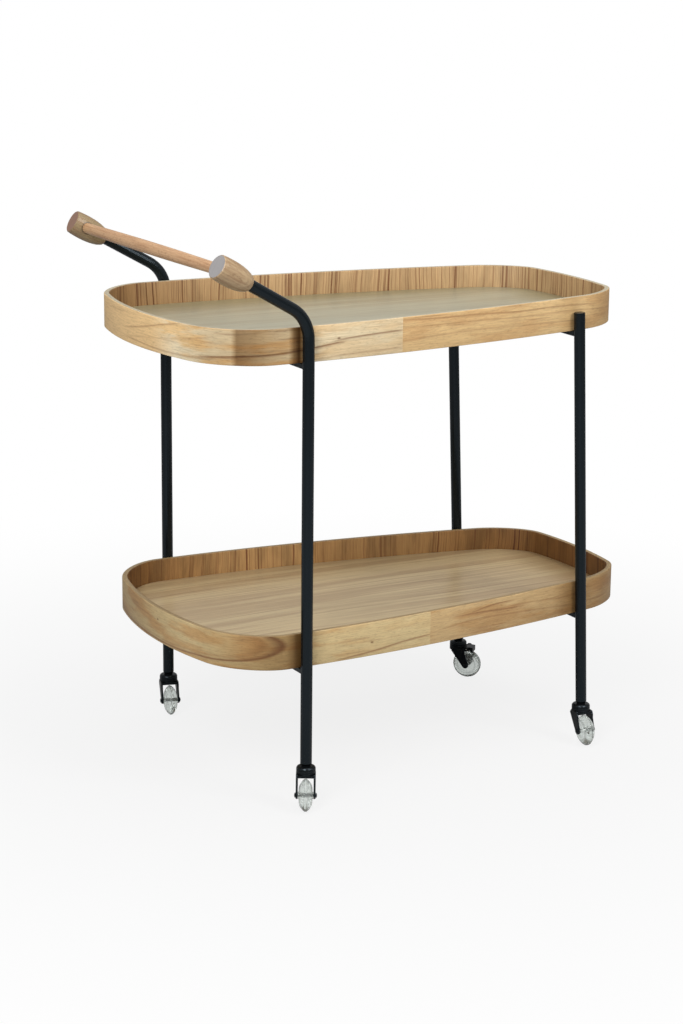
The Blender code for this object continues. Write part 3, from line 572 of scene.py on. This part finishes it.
def lacquered_band(tier, settings, joint_run):
    """Flat-sliced teak-like veneer round the outside of a band, sanded and sprayed with satin lacquer: long
    grain with drawn-out figures, and two sheets of different tone that meet in a plain butt joint."""
    material, tree, shader = surface(
        f"veneer_long_grain_satin_lacquer_{tier}", Roughness=0.42, IOR=1.5, Specular_IOR_Level=0.25
    )
    place = add(tree, "UVMap", uv_map="veneer")
    run = add(tree, "SeparateXYZ", place)
    height = add(tree, "SeparateXYZ", place, out="Y")
    # past the joint the far-end sheet has its own place in the grain
    far = add(tree, "Math", run, joint_run, operation="GREATER_THAN")
    own = add(tree, "VectorMath", place, add(tree, "CombineXYZ", 0.0, 0.0, far), operation="ADD")
    lines, gold = figured(tree, tier, own, run, height)
    # the handle-end sheet loses most of its gold towards the joint
    fading = [joint_run - before for before in GOLD_FADES]
    remains = add(tree, "MapRange", run, *fading, 1.0, 0.35, **SMOOTH)
    kept = add(tree, "Math", remains, far, operation="MAXIMUM")
    gold_share = add(tree, "Math", gold, kept, operation="MULTIPLY")
    sheets = [rgba(getattr(settings, f"{name}_{tier}")) for name in ("handle_sheet", "far_sheet")]
    hearts = [rgba(getattr(settings, f"{name}_{tier}")) for name in ("handle_heart", "far_heart")]
    pale = add(tree, "Mix", far, *sheets, data_type="RGBA")
    golden = add(tree, "Mix", far, *hearts, data_type="RGBA")
    ground = add(tree, "Mix", gold_share, pale, golden, data_type="RGBA")
    lined = add(tree, "Mix", lines, ground, rgba(settings.growth_line), data_type="RGBA")
    wood = knotted(tree, tier, place, lined, settings.growth_line)
    # fibres and short dark pores, drawn about three times coarser than real so that they show
    seed = GRAIN_SEED[tier]
    fibre = marks(tree, own, 24 * MM, 1.5 * MM, 0.25, 0.75, seed, faint=0.86, full=1.1, detail=4)
    pores = marks(tree, own, 7 * MM, 1.6 * MM, 0.52, 0.72, seed, faint=1.0, full=0.80, detail=2)
    combed = add(tree, "Math", fibre, pores, operation="MULTIPLY")
    # the ramp paints light and shade along the band over the veneer's own tone
    toned_and_shaded = add(tree, "VectorMath", wood, tone_and_shade_along(tree, run, OUTER_TONE_AND_SHADE[tier]), operation="MULTIPLY")
    coated(tree, shader, add(tree, "VectorMath", toned_and_shaded, combed, operation="SCALE"), fibre, 0.1 * MM, 0.15)
    return material


def crossed_band(tier, settings):
    """The same veneer laid upright inside the band, lacquered: short vertical grain with thin reddish
    stripes at uneven distances, and broad darker fields."""
    base = getattr(settings, f"inner_{tier}")
    between_groups, field_depth = INNER_FIGURE[tier]
    material, tree, shader = surface(
        f"veneer_cross_grain_satin_lacquer_{tier}", Roughness=0.45, IOR=1.5, Specular_IOR_Level=0.25
    )
    seed = GRAIN_SEED[tier]
    upright = add(tree, "UVMap", uv_map="veneer")
    # the stripes lean and bend by up to 8 mm over the height of the band
    lean = marks(tree, upright, 200 * MM, 90 * MM, 0, 1, seed, full=8 * MM, detail=1)
    place = add(tree, "VectorMath", upright, add(tree, "CombineXYZ", lean), operation="ADD")
    # bold stripes in groups, and fainter and narrower ones between them
    bold = marks(tree, place, 4.6 * MM, 900 * MM, 0.56, 0.66, seed, full=0.95, detail=1)
    groups = marks(tree, place, 60 * MM, 900 * MM, 0.42, 0.58, seed, faint=between_groups, detail=2)
    grouped = add(tree, "Math", bold, groups, operation="MULTIPLY")
    narrow = marks(tree, place, 2.2 * MM, 700 * MM, 0.50, 0.70, seed, full=0.65, detail=2)
    stripes = add(tree, "Math", grouped, narrow, operation="MAXIMUM")
    fields = marks(tree, place, 34 * MM, 150 * MM, 0.42, 0.66, seed + 1, full=field_depth)
    ground = add(tree, "Mix", fields, rgba(base), rgba(base, 0.62), data_type="RGBA")
    striped = add(tree, "Mix", stripes, ground, rgba(settings.inner_line), data_type="RGBA")
    # fibres, coarser than real here too
    fibre = marks(tree, place, 1.3 * MM, 26 * MM, 0.25, 0.75, seed, faint=0.86, full=1.1)
    # the ramp paints light and shade along the band over the veneer's own tone, deepest inside the lower
    # band under the upper tray
    tone = tone_and_shade_along(tree, add(tree, "SeparateXYZ", place), INNER_TONE_AND_SHADE[tier])
    toned_and_shaded = add(tree, "VectorMath", striped, tone, operation="MULTIPLY")
    coated(tree, shader, add(tree, "VectorMath", toned_and_shaded, fibre, operation="SCALE"), fibre, 0.1 * MM, 0.12)
    return material


def sanded_edge(tier, settings):
    """The sawn and sanded edge of the bent plies under lacquer: greyer and smoother than the faces, with
    the plies as faint lines along it."""
    material, tree, shader = surface(
        f"bent_ply_edge_sanded_{tier}", Roughness=0.4, IOR=1.5, Specular_IOR_Level=EDGE_GLOSS[tier]
    )
    place = add(tree, "UVMap", uv_map="veneer")
    plies = marks(tree, place, 80 * MM, 1.6 * MM, 0.35, 0.65, GRAIN_SEED[tier])
    edge = getattr(settings, f"edge_{tier}")
    tone = add(tree, "Mix", plies, rgba(edge), rgba(edge, 0.8), data_type="RGBA")
    coated(tree, shader, tone, plies, 0.05 * MM, 0.1)
    return material


def lacquered_panel(tier, settings, centre):
    """Flat-sliced veneer in leaves side by side on the panel, grain along the tray, satin lacquer: soft
    long streaks, and a slight change of tone from leaf to leaf."""
    base, streak_tone, cast = (
        rgba(getattr(settings, f"{name}_{tier}")) for name in ("panel", "panel_streak", "panel_band_reflection")
    )
    broad_depth, narrow_depth, rear_reflection_depth = PANEL_DEPTHS[tier]
    material, tree, shader = surface(f"veneer_panel_satin_lacquer_{tier}", Roughness=0.3, IOR=1.5)
    seed = GRAIN_SEED[tier]
    local = add(tree, "Mapping", add(tree, "TexCoord", out="Object"), (-centre, 0, 0), None, (1, 1, 0))
    along = add(tree, "SeparateXYZ", local)
    across = add(tree, "SeparateXYZ", local, out="Y")
    leaves = add(tree, "Math", across, settings.leaf_width, operation="DIVIDE")
    leaf = add(tree, "Math", leaves, operation="FLOOR")
    own = add(tree, "VectorMath", local, add(tree, "CombineXYZ", 0.0, 0.0, leaf), operation="ADD")
    # the streaks bend 9 mm to either side over the length of the panel
    bend = marks(tree, own, 500 * MM, 200 * MM, 0.2, 0.8, seed, faint=-9 * MM, full=9 * MM, detail=1)
    swayed = add(tree, "VectorMath", own, add(tree, "CombineXYZ", 0.0, bend), operation="ADD")
    broad = marks(tree, swayed, 700 * MM, 26 * MM, 0.42, 0.64, seed, full=broad_depth)
    narrow = marks(tree, swayed, 420 * MM, 4.5 * MM, 0.48, 0.68, seed, full=narrow_depth, detail=4)
    streaks = add(tree, "Math", broad, narrow, operation="MAXIMUM")
    streaked = add(tree, "Mix", streaks, base, streak_tone, data_type="RGBA")
    # painted reflection and shade of the band: the panel turns warmer and deeper near the band's foot, at
    # the rear and at both ends
    narrowed = add(tree, "Math", along, -TRAY_TAPER_SHARE / HALF_LENGTH, 1.0, operation="MULTIPLY_ADD")
    squared = add(tree, "Math", across, narrowed, operation="DIVIDE")
    rear = add(tree, "MapRange", squared, *REAR_BAND_REFLECTION, 0.0, rear_reflection_depth, **SMOOTH)
    far = add(tree, "MapRange", along, *FAR_BAND_REFLECTION, 0.0, 0.7, **SMOOTH)
    near = add(tree, "MapRange", along, *HANDLE_BAND_REFLECTION, 0.0, 0.5, **SMOOTH)
    wood = add(tree, "Mix", deepest(tree, [rear, far, near]), streaked, cast, data_type="RGBA")
    # fibres, about three times coarser than real so that they show
    fibre = marks(tree, swayed, 45 * MM, 1.5 * MM, 0.25, 0.75, seed, faint=0.86, full=1.1, detail=4)
    tone = add(tree, "TexWhiteNoise", leaf, noise_dimensions="1D")
    leaf_shade = add(tree, "MapRange", tone, 0.0, 1.0, 0.94, 1.04, **SMOOTH)
    shade = add(tree, "Math", leaf_shade, fibre, operation="MULTIPLY")
    coated(tree, shader, add(tree, "VectorMath", wood, shade, operation="SCALE"), fibre, 0.1 * MM, 0.12)
    return material


def turned_beech(name, grain_turn, base, late, end, hole=None):
    """Beech turned on a lathe, stained and lacquered: long grain along the piece with short darker flecks,
    and grey sanded end grain with specks where the surface cuts across it. Stain gathers dark round a
    cross hole on the side towards its centre: hole is that centre, its radius and how far it reaches to
    each side."""
    material, tree, shader = surface(name, Roughness=0.4, IOR=1.5)
    # X runs along the grain once the place is turned
    place = add(tree, "Mapping", add(tree, "TexCoord", out="Object"), None, grain_turn)
    spread = add(tree, "Mapping", place, None, None, (1, 1, 1 / BEECH_DEPTH))
    streak = marks(tree, spread, 70 * MM, 5 * MM, 0.38, 0.66, 1.0, full=0.8, detail=4)
    # the flecks are about three times coarser than real, so that they show
    fleck = marks(tree, spread, 8 * MM, 1.1 * MM, 0.52, 0.7, 2.0, full=0.45, detail=2)
    tone = add(tree, "Mix", streak, rgba(base), rgba(late), data_type="RGBA")
    flecked = add(tree, "Mix", fleck, tone, rgba(late, 0.7), data_type="RGBA")
    specks = marks(tree, place, 1.6 * MM, 1.6 * MM, 0.45, 0.75, 4.0, full=0.4, detail=2)
    end_grain = add(tree, "Mix", specks, rgba(end), rgba(end, 0.6), data_type="RGBA")
    outward = add(tree, "Mapping", add(tree, "TexCoord", out="Normal"), None, grain_turn)
    across = add(tree, "Math", add(tree, "SeparateXYZ", outward), operation="ABSOLUTE")
    cut_across = add(tree, "MapRange", across, 0.85, 0.97, 0.0, 1.0, **SMOOTH)
    wood = add(tree, "Mix", cut_across, flecked, end_grain, data_type="RGBA")
    if hole:
        centre, radius, reach = hole
        # painted shade where the bar enters the cap
        off = add(tree, "VectorMath", add(tree, "TexCoord", out="Object"), centre, operation="SUBTRACT")
        flat = add(tree, "VectorMath", off, (1, 0, 1), operation="MULTIPLY")
        from_hole = add(tree, "VectorMath", flat, operation="LENGTH")
        painted_shade = add(tree, "MapRange", from_hole, radius, radius + HOLE_SHADE_WIDTH, 0.85, 0.0, **SMOOTH)
        sideways = add(tree, "Math", add(tree, "SeparateXYZ", off, out="Y"), operation="ABSOLUTE")
        inner = add(tree, "Math", sideways, reach, operation="LESS_THAN")
        share = add(tree, "Math", painted_shade, inner, operation="MULTIPLY")
        wood = add(tree, "Mix", share, wood, rgba(late, 0.3), data_type="RGBA")
    coated(tree, shader, wood, fleck, 0.08 * MM, 0.1)
    return material


def powder_coat(settings):
    """Polyester powder on steel, baked: satin black with a faint orange peel that breaks up highlights."""
    material, tree, shader = surface(
        "steel_black_powder_coat",
        Roughness=POWDER_ROUGHNESS,
        IOR=1.5,
        Specular_IOR_Level=0.3,
        Specular_Tint=BLACK_GLOSS,
    )
    place = add(tree, "TexCoord", out="Object")
    peel = add(tree, "TexNoise", place, 1 / settings.powder_grain, 2)
    tone = add(tree, "Mix", peel, rgba(settings.powder), rgba(settings.powder, 0.8), data_type="RGBA")
    smoothest, roughest = POWDER_ROUGHNESS - 0.03, POWDER_ROUGHNESS + 0.04
    roughness = add(tree, "MapRange", peel, 0.3, 0.7, smoothest, roughest, **SMOOTH)
    tree.links.new(roughness, shader.inputs["Roughness"])
    coated(tree, shader, tone, peel, 0.08 * MM, 0.25)
    return material


def moulded_nylon(settings):
    """Nylon injection moulded in a finely sparked tool: black with a soft sheen and a fine grain."""
    material, tree, shader = surface(
        "nylon_black_moulded", Roughness=0.3, IOR=1.53, Specular_IOR_Level=0.25, Specular_Tint=BLACK_GLOSS
    )
    # a grain of 0.5 mm, about five times coarser than real so that it shows
    grain = add(tree, "TexNoise", add(tree, "TexCoord", out="Object"), 1 / (0.5 * MM), 1)
    tone = add(tree, "Mix", grain, rgba(settings.nylon), rgba(settings.nylon, 0.75), data_type="RGBA")
    coated(tree, shader, tone, grain, 0.04 * MM, 0.2)
    return material


def cast_clear(name, settings, centre):
    """Polyurethane cast clear: slightly milky, it bends what is behind it, mirrors the room in its polished
    skin and shows its moulded hub and web as rings."""
    material, tree, shader = surface(name, Roughness=0.12, IOR=1.49, Transmission_Weight=0.85)
    place = add(tree, "TexCoord", out="Object")
    off = add(tree, "VectorMath", place, centre, operation="SUBTRACT")
    from_centre = add(tree, "VectorMath", off, operation="LENGTH")
    haze = add(tree, "TexNoise", place, 1 / (6 * MM), 2)
    tint = add(tree, "Mix", haze, rgba(settings.clear), rgba(settings.clear, 0.85), data_type="RGBA")
    for radius in (WHEEL_HUB, WHEEL_WEB):
        beyond = add(tree, "Math", from_centre, radius, operation="SUBTRACT")
        aside = add(tree, "Math", beyond, operation="ABSOLUTE")
        ring = add(tree, "MapRange", aside, 0, WHEEL_RING_WIDTH, 0.55, 0, **SMOOTH)
        tint = add(tree, "Mix", ring, tint, rgba(settings.clear, 0.3), data_type="RGBA")
    tree.links.new(tint, shader.inputs["Base Color"])
    return material


def zinc_plate(settings):
    """Steel, zinc plated and passivated: bright grey with a fine bluish mottle."""
    material, tree, shader = surface("steel_zinc_plated", Roughness=0.3, Metallic=1.0)
    mottle = add(tree, "TexNoise", add(tree, "TexCoord", out="Object"), 1 / (1.5 * MM), 2)
    tone = add(tree, "Mix", mottle, rgba(settings.zinc), rgba(settings.zinc, 0.65), data_type="RGBA")
    tree.links.new(tone, shader.inputs["Base Color"])
    return material


def seen_directly(tree):
    """1 for what the camera sees, also through the clear wheels, and 0 for light on its way round."""
    rays = [add(tree, "LightPath", out=f"Is {kind} Ray") for kind in ("Camera", "Transmission")]
    return add(tree, "Math", *rays, operation="MAXIMUM")


def studio_floor(settings):
    """A pale painted floor that shows white to the camera, and still takes a soft shadow."""
    material = bpy.data.materials.new("studio_floor_matt_paint")
    material.use_nodes = True
    tree = material.node_tree
    tree.nodes.clear()
    # the shadow shows near the cart, and the floor runs out to plain white
    away = add(tree, "VectorMath", add(tree, "TexCoord", out="Object"), operation="LENGTH")
    whiteness = add(tree, "MapRange", away, *SHADOW_FADES, SHADOW_WHITE, 1.0, **SMOOTH)
    share = add(tree, "Math", seen_directly(tree), whiteness, operation="MULTIPLY")
    paint = add(tree, "BsdfDiffuse", rgba(settings.floor))
    white = add(tree, "Emission", (1, 1, 1, 1), 1.0)
    add(tree, "OutputMaterial", add(tree, "MixShader", share, paint, white))
    return material


# Shapes


def finished(name, shape, materials, body, replaced):
    """A mesh piece in the scene, smooth, with its materials, riding on its body for these nodes."""
    mesh = bpy.data.meshes.new(name)
    bmesh.ops.recalc_face_normals(shape, faces=shape.faces)
    shape.to_mesh(mesh)
    shape.free()
    mesh.shade_smooth()
    for material in materials:
        mesh.materials.append(material)
    piece = bpy.data.objects.new(name, mesh)
    bpy.context.scene.collection.objects.link(piece)
    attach(piece, body)
    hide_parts(*replaced)
    return piece


def tray_point(x, y):
    """Bows and tapers a point of a straight rounded rectangle into the tray's outline."""
    along = x / HALF_LENGTH
    across = y / HALF_WIDTH
    end_bow = HANDLE_END_BOW if x < 0 else FAR_END_BOW
    narrowed = 1 - TRAY_TAPER_SHARE * along - SIDE_BOW / HALF_WIDTH * along**2
    return x - end_bow * across**2 * along, y * narrowed


def tray_outline():
    """Points round the tray, counterclockwise from the middle of the rear side."""
    radius = TRAY_CORNER_RADIUS
    long_half = HALF_LENGTH - radius
    wide_half = HALF_WIDTH - radius
    plain = [(-long_half * i / HALF_SIDE_STEPS, HALF_WIDTH) for i in range(HALF_SIDE_STEPS)]
    for quarter, (side_x, side_y) in enumerate(((-1, 1), (-1, -1), (1, -1), (1, 1)), 1):
        centre_x, centre_y = side_x * long_half, side_y * wide_half
        for i in range(CORNER_STEPS):
            angle = (quarter + i / CORNER_STEPS) * pi / 2
            plain.append((centre_x + radius * cos(angle), centre_y + radius * sin(angle)))
        if quarter == 2:
            steps = 2 * HALF_SIDE_STEPS
            plain += [(long_half * (2 * i / steps - 1), -HALF_WIDTH) for i in range(steps)]
        elif quarter == 4:
            plain += [(long_half * (1 - i / HALF_SIDE_STEPS), HALF_WIDTH) for i in range(HALF_SIDE_STEPS)]
        else:
            end = side_x * HALF_LENGTH
            plain += [(end, centre_y * (1 - 2 * i / END_STEPS)) for i in range(END_STEPS)]
    return [tray_point(x, y) for x, y in plain]


def runs_of(points):
    """The distance along a closed outline to each of its points, with the whole length last."""
    runs = [0.0]
    for (x0, y0), (x1, y1) in zip(points, points[1:] + points[:1]):
        runs.append(runs[-1] + hypot(x1 - x0, y1 - y0))
    return runs


def inward(points, i):
    """The unit normal into a counterclockwise outline at point i."""
    before_x, before_y = points[i - 1]
    after_x, after_y = points[(i + 1) % len(points)]
    run, rise = after_x - before_x, after_y - before_y
    length = hypot(run, rise)
    return -rise / length, run / length


def band_section(height, rounding):
    """The band's cross section as (inset, height) points, up the outside and down the inside."""
    corners = (
        (rounding, rounding, pi * 1.5),
        (rounding, height - rounding, pi),
        (RIM_THICKNESS - rounding, height - rounding, pi / 2),
        (RIM_THICKNESS - rounding, rounding, 0),
    )
    points = []
    for inset, level, start in corners:
        for i in range(ROUNDING_STEPS + 1):
            angle = start - i / ROUNDING_STEPS * pi / 2
            points.append((inset + rounding * cos(angle), level + rounding * sin(angle)))
    return points


def band_face(k):
    """Which material the k-th strip of the section takes: 0 outside, 1 on the sanded edges, 2 inside."""
    quarter, step = divmod(k, ROUNDING_STEPS + 1)
    if step < ROUNDING_STEPS:
        return (0, 0, 2, 2)[quarter]
    return (0, 1, 2, 1)[quarter]


def build_band(tier, settings):
    """The bent band of one tray, with its grain's run and height as a UV map."""
    low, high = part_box(f"{tier}_rim")
    centre = (low.x + high.x) / 2
    points = tray_outline()
    middle = (min(x for x, y in points) + max(x for x, y in points)) / 2
    runs = runs_of(points)
    section = band_section(high.z - low.z, settings.rounding)
    shape = bmesh.new()
    uv = shape.loops.layers.uv.new("veneer")
    rings = []
    for i, (x, y) in enumerate(points):
        nx, ny = inward(points, i)
        placed = x - middle + centre
        ring = [(placed + nx * inset, y + ny * inset, low.z + z) for inset, z in section]
        rings.append([shape.verts.new(corner) for corner in ring])
    for i in range(len(points)):
        j = (i + 1) % len(points)
        for k in range(len(section)):
            m = (k + 1) % len(section)
            face = shape.faces.new((rings[i][k], rings[j][k], rings[j][m], rings[i][m]))
            kind = band_face(k)
            face.material_index = kind
            for loop, (run, part) in zip(face.loops, ((i, k), (i + 1, k), (i + 1, m), (i, m))):
                inset, z = section[part]
                loop[uv].uv = (runs[run], inset if kind == 1 else z)
    joint = FRONT_JOINTS[tier]
    front = [(abs(x - joint), runs[i]) for i, (x, y) in enumerate(points) if y < 0]
    joint_run = min(front)[1]
    materials = [
        lacquered_band(tier, settings, joint_run),
        sanded_edge(tier, settings),
        crossed_band(tier, settings),
    ]
    return finished(f"{tier}_band", shape, materials, "frame", [f"{tier}_rim"])


def dress(names, material):
    """Gives CAD nodes whose shape is right their finish."""
    for name in names:
        node = NODES[name]
        node.data.materials.clear()
        node.data.materials.append(material)


def nodes_with(*parts):
    """The names of the CAD nodes that hold any of these parts."""
    return sorted(n for n in NODES if any(p in n for p in parts))


# Studio


def build_floor(settings):
    """One wide square under the cart, at the height of its lowest point."""
    shape = bmesh.new()
    sides = ((-1, -1), (1, -1), (1, 1), (-1, 1))
    shape.faces.new([shape.verts.new((x * FLOOR_HALF, y * FLOOR_HALF, 0)) for x, y in sides])
    mesh = bpy.data.meshes.new("studio_floor")
    shape.to_mesh(mesh)
    shape.free()
    mesh.materials.append(studio_floor(settings))
    floor = bpy.data.objects.new("studio_floor", mesh)
    bpy.context.scene.collection.objects.link(floor)
    floor.location.z = CAD_BOX[0].z


def build_room(settings):
    """Even light from all round, white to the camera and through the wheels, and softer in gloss."""
    world = bpy.data.worlds.new("studio_room")
    bpy.context.scene.world = world
    world.use_nodes = True
    tree = world.node_tree
    tree.nodes.clear()
    glossy = add(tree, "LightPath", out="Is Glossy Ray")
    in_gloss = add(tree, "Math", glossy, settings.sky_in_gloss, operation="MULTIPLY")
    whiteness = add(tree, "Math", seen_directly(tree), in_gloss, operation="MAXIMUM")
    strength = add(tree, "MapRange", whiteness, 0.0, 1.0, settings.sky, 1.0, **SMOOTH)
    add(tree, "OutputWorld", add(tree, "Background", (1, 1, 1, 1), strength))


def build_lamp(name, place, size, power):
    """A square soft box turned to the cart."""
    light = bpy.data.lights.new(name, "AREA")
    light.shape = "SQUARE"
    light.size = size
    light.energy = power
    lamp = bpy.data.objects.new(name, light)
    bpy.context.scene.collection.objects.link(lamp)
    lamp.location = place
    lamp.rotation_euler = (LOOK_AT - Vector(place)).to_track_quat("-Z", "Y").to_euler()


def build_camera(settings):
    """The camera, turned round the cart by its azimuth and elevation and then rolled."""
    back = Vector(
        (
            sin(settings.azimuth) * cos(settings.elevation),
            -cos(settings.azimuth) * cos(settings.elevation),
            sin(settings.elevation),
        )
    )
    right = Vector((cos(settings.azimuth), sin(settings.azimuth), 0))
    up = back.cross(right)
    turned_right = right * cos(settings.roll) + up * sin(settings.roll)
    turned_up = up * cos(settings.roll) - right * sin(settings.roll)
    data = bpy.data.cameras.new("photo_camera")
    data.lens = settings.lens
    data.sensor_width = SENSOR_WIDTH
    camera = bpy.data.objects.new("photo_camera", data)
    bpy.context.scene.collection.objects.link(camera)
    turn = Matrix((turned_right, turned_up, back)).transposed().to_4x4()
    camera.matrix_world = Matrix.Translation(LOOK_AT + back * settings.distance) @ turn
    bpy.context.scene.camera = camera
    bpy.context.scene.view_settings.view_transform = "Standard"


# Operators


class BARCART_OT_bands(bpy.types.Operator):
    """Build the bent veneer bands of both trays"""

    bl_idname = "barcart.bands"
    bl_label = "Tray Bands"

    def execute(self, context):
        for tier in ("upper", "lower"):
            build_band(tier, context.scene.bar_cart_veneer)
        return {"FINISHED"}


class BARCART_OT_panels(bpy.types.Operator):
    """Veneer the panels of both trays"""

    bl_idname = "barcart.panels"
    bl_label = "Tray Panels"

    def execute(self, context):
        for tier in ("upper", "lower"):
            low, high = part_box(f"{tier}_floor")
            material = lacquered_panel(tier, context.scene.bar_cart_veneer, (low.x + high.x) / 2)
            dress([f"{tier}_floor"], material)
        return {"FINISHED"}


class BARCART_OT_handle(bpy.types.Operator):
    """Finish the turned bar and its two caps"""

    bl_idname = "barcart.handle"
    bl_label = "Handle"

    def execute(self, context):
        settings = context.scene.bar_cart_frame
        late = settings.bar_late
        bar = turned_beech("beech_turned_bar", (0, 0, pi / 2), settings.bar, late, late)
        dress(["handle_bar"], bar)
        low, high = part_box("handle_bar")
        grain_turn = (0, -ARM_SLOPE, 0)
        for side in ("front", "rear"):
            cap_low, cap_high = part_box(f"handle_cap_{side}")
            hole = (low + high) / 2, BAR_END_RADIUS, abs(cap_low.y + cap_high.y) / 2
            base, end = (getattr(settings, f"{name}_{side}") for name in ("cap", "end_grain"))
            name = f"beech_turned_cap_{side}"
            cap = turned_beech(name, grain_turn, base, settings.cap_late, end, hole)
            dress([f"handle_cap_{side}"], cap)
        return {"FINISHED"}


class BARCART_OT_frame(bpy.types.Operator):
    """Powder-coat the tubes and rails"""

    bl_idname = "barcart.frame"
    bl_label = "Frame"

    def execute(self, context):
        material = powder_coat(context.scene.bar_cart_frame)
        dress([n for n in NODES if n.startswith(("leg_", "rail_"))], material)
        return {"FINISHED"}


class BARCART_OT_fixings(bpy.types.Operator):
    """Plate the screws, stems and the pedal's pin"""

    bl_idname = "barcart.fixings"
    bl_label = "Fixings"

    def execute(self, context):
        names = nodes_with("screw_", "_stem", "brake_pin")
        dress(names, zinc_plate(context.scene.bar_cart_frame))
        return {"FINISHED"}


class BARCART_OT_casters(bpy.types.Operator):
    """Finish forks, collars, washers, axles and the pedal"""

    bl_idname = "barcart.casters"
    bl_label = "Casters"

    def execute(self, context):
        names = nodes_with("_fork", "_washer", "_axle", "socket_", "brake_lever")
        dress(names, moulded_nylon(context.scene.bar_cart_frame))
        return {"FINISHED"}


class BARCART_OT_wheels(bpy.types.Operator):
    """Cast the clear wheels"""

    bl_idname = "barcart.wheels"
    bl_label = "Wheels"

    def execute(self, context):
        settings = context.scene.bar_cart_frame
        for name in nodes_with("_wheel"):
            low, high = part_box(name)
            material = cast_clear(f"polyurethane_cast_{name}", settings, (low + high) / 2)
            dress([name], material)
        return {"FINISHED"}


class BARCART_OT_studio(bpy.types.Operator):
    """Set the pale floor, the soft lamps and the camera"""

    bl_idname = "barcart.studio"
    bl_label = "Studio"

    def execute(self, context):
        settings = context.scene.bar_cart_studio
        build_floor(settings)
        build_room(settings)
        for name, (place, size) in LAMPS.items():
            build_lamp(name, place, size, getattr(settings, name))
        build_camera(settings)
        return {"FINISHED"}


OPERATORS = (
    BARCART_OT_bands,
    BARCART_OT_panels,
    BARCART_OT_handle,
    BARCART_OT_frame,
    BARCART_OT_fixings,
    BARCART_OT_casters,
    BARCART_OT_wheels,
    BARCART_OT_studio,
)


class BARCART_PT_pieces(bpy.types.Panel):
    """Lists the cart's pieces and their settings"""

    bl_label = "Bar Cart"
    bl_space_type = "VIEW_3D"
    bl_region_type = "UI"
    bl_category = "Bar Cart"

    def draw(self, context):
        for operator in OPERATORS:
            self.layout.operator(operator.bl_idname)
        for group, kind in SETTINGS.items():
            column = self.layout.column(heading=kind.__doc__)
            for name in kind.__annotations__:
                column.prop(getattr(context.scene, group), name)


def register():
    for group, kind in SETTINGS.items():
        bpy.utils.register_class(kind)
        setattr(bpy.types.Scene, group, bpy.props.PointerProperty(type=kind))
    for kind in (*OPERATORS, BARCART_PT_pieces):
        bpy.utils.register_class(kind)


def unregister():
    for kind in (BARCART_PT_pieces, *reversed(OPERATORS)):
        bpy.utils.unregister_class(kind)
    for group, kind in reversed(SETTINGS.items()):
        delattr(bpy.types.Scene, group)
        bpy.utils.unregister_class(kind)


def main():
    register()
    for operator in OPERATORS:
        space, name = operator.bl_idname.split(".")
        getattr(getattr(bpy.ops, space), name)()
    bpy.context.view_layer.update()


if __name__ == "__main__":
    main()
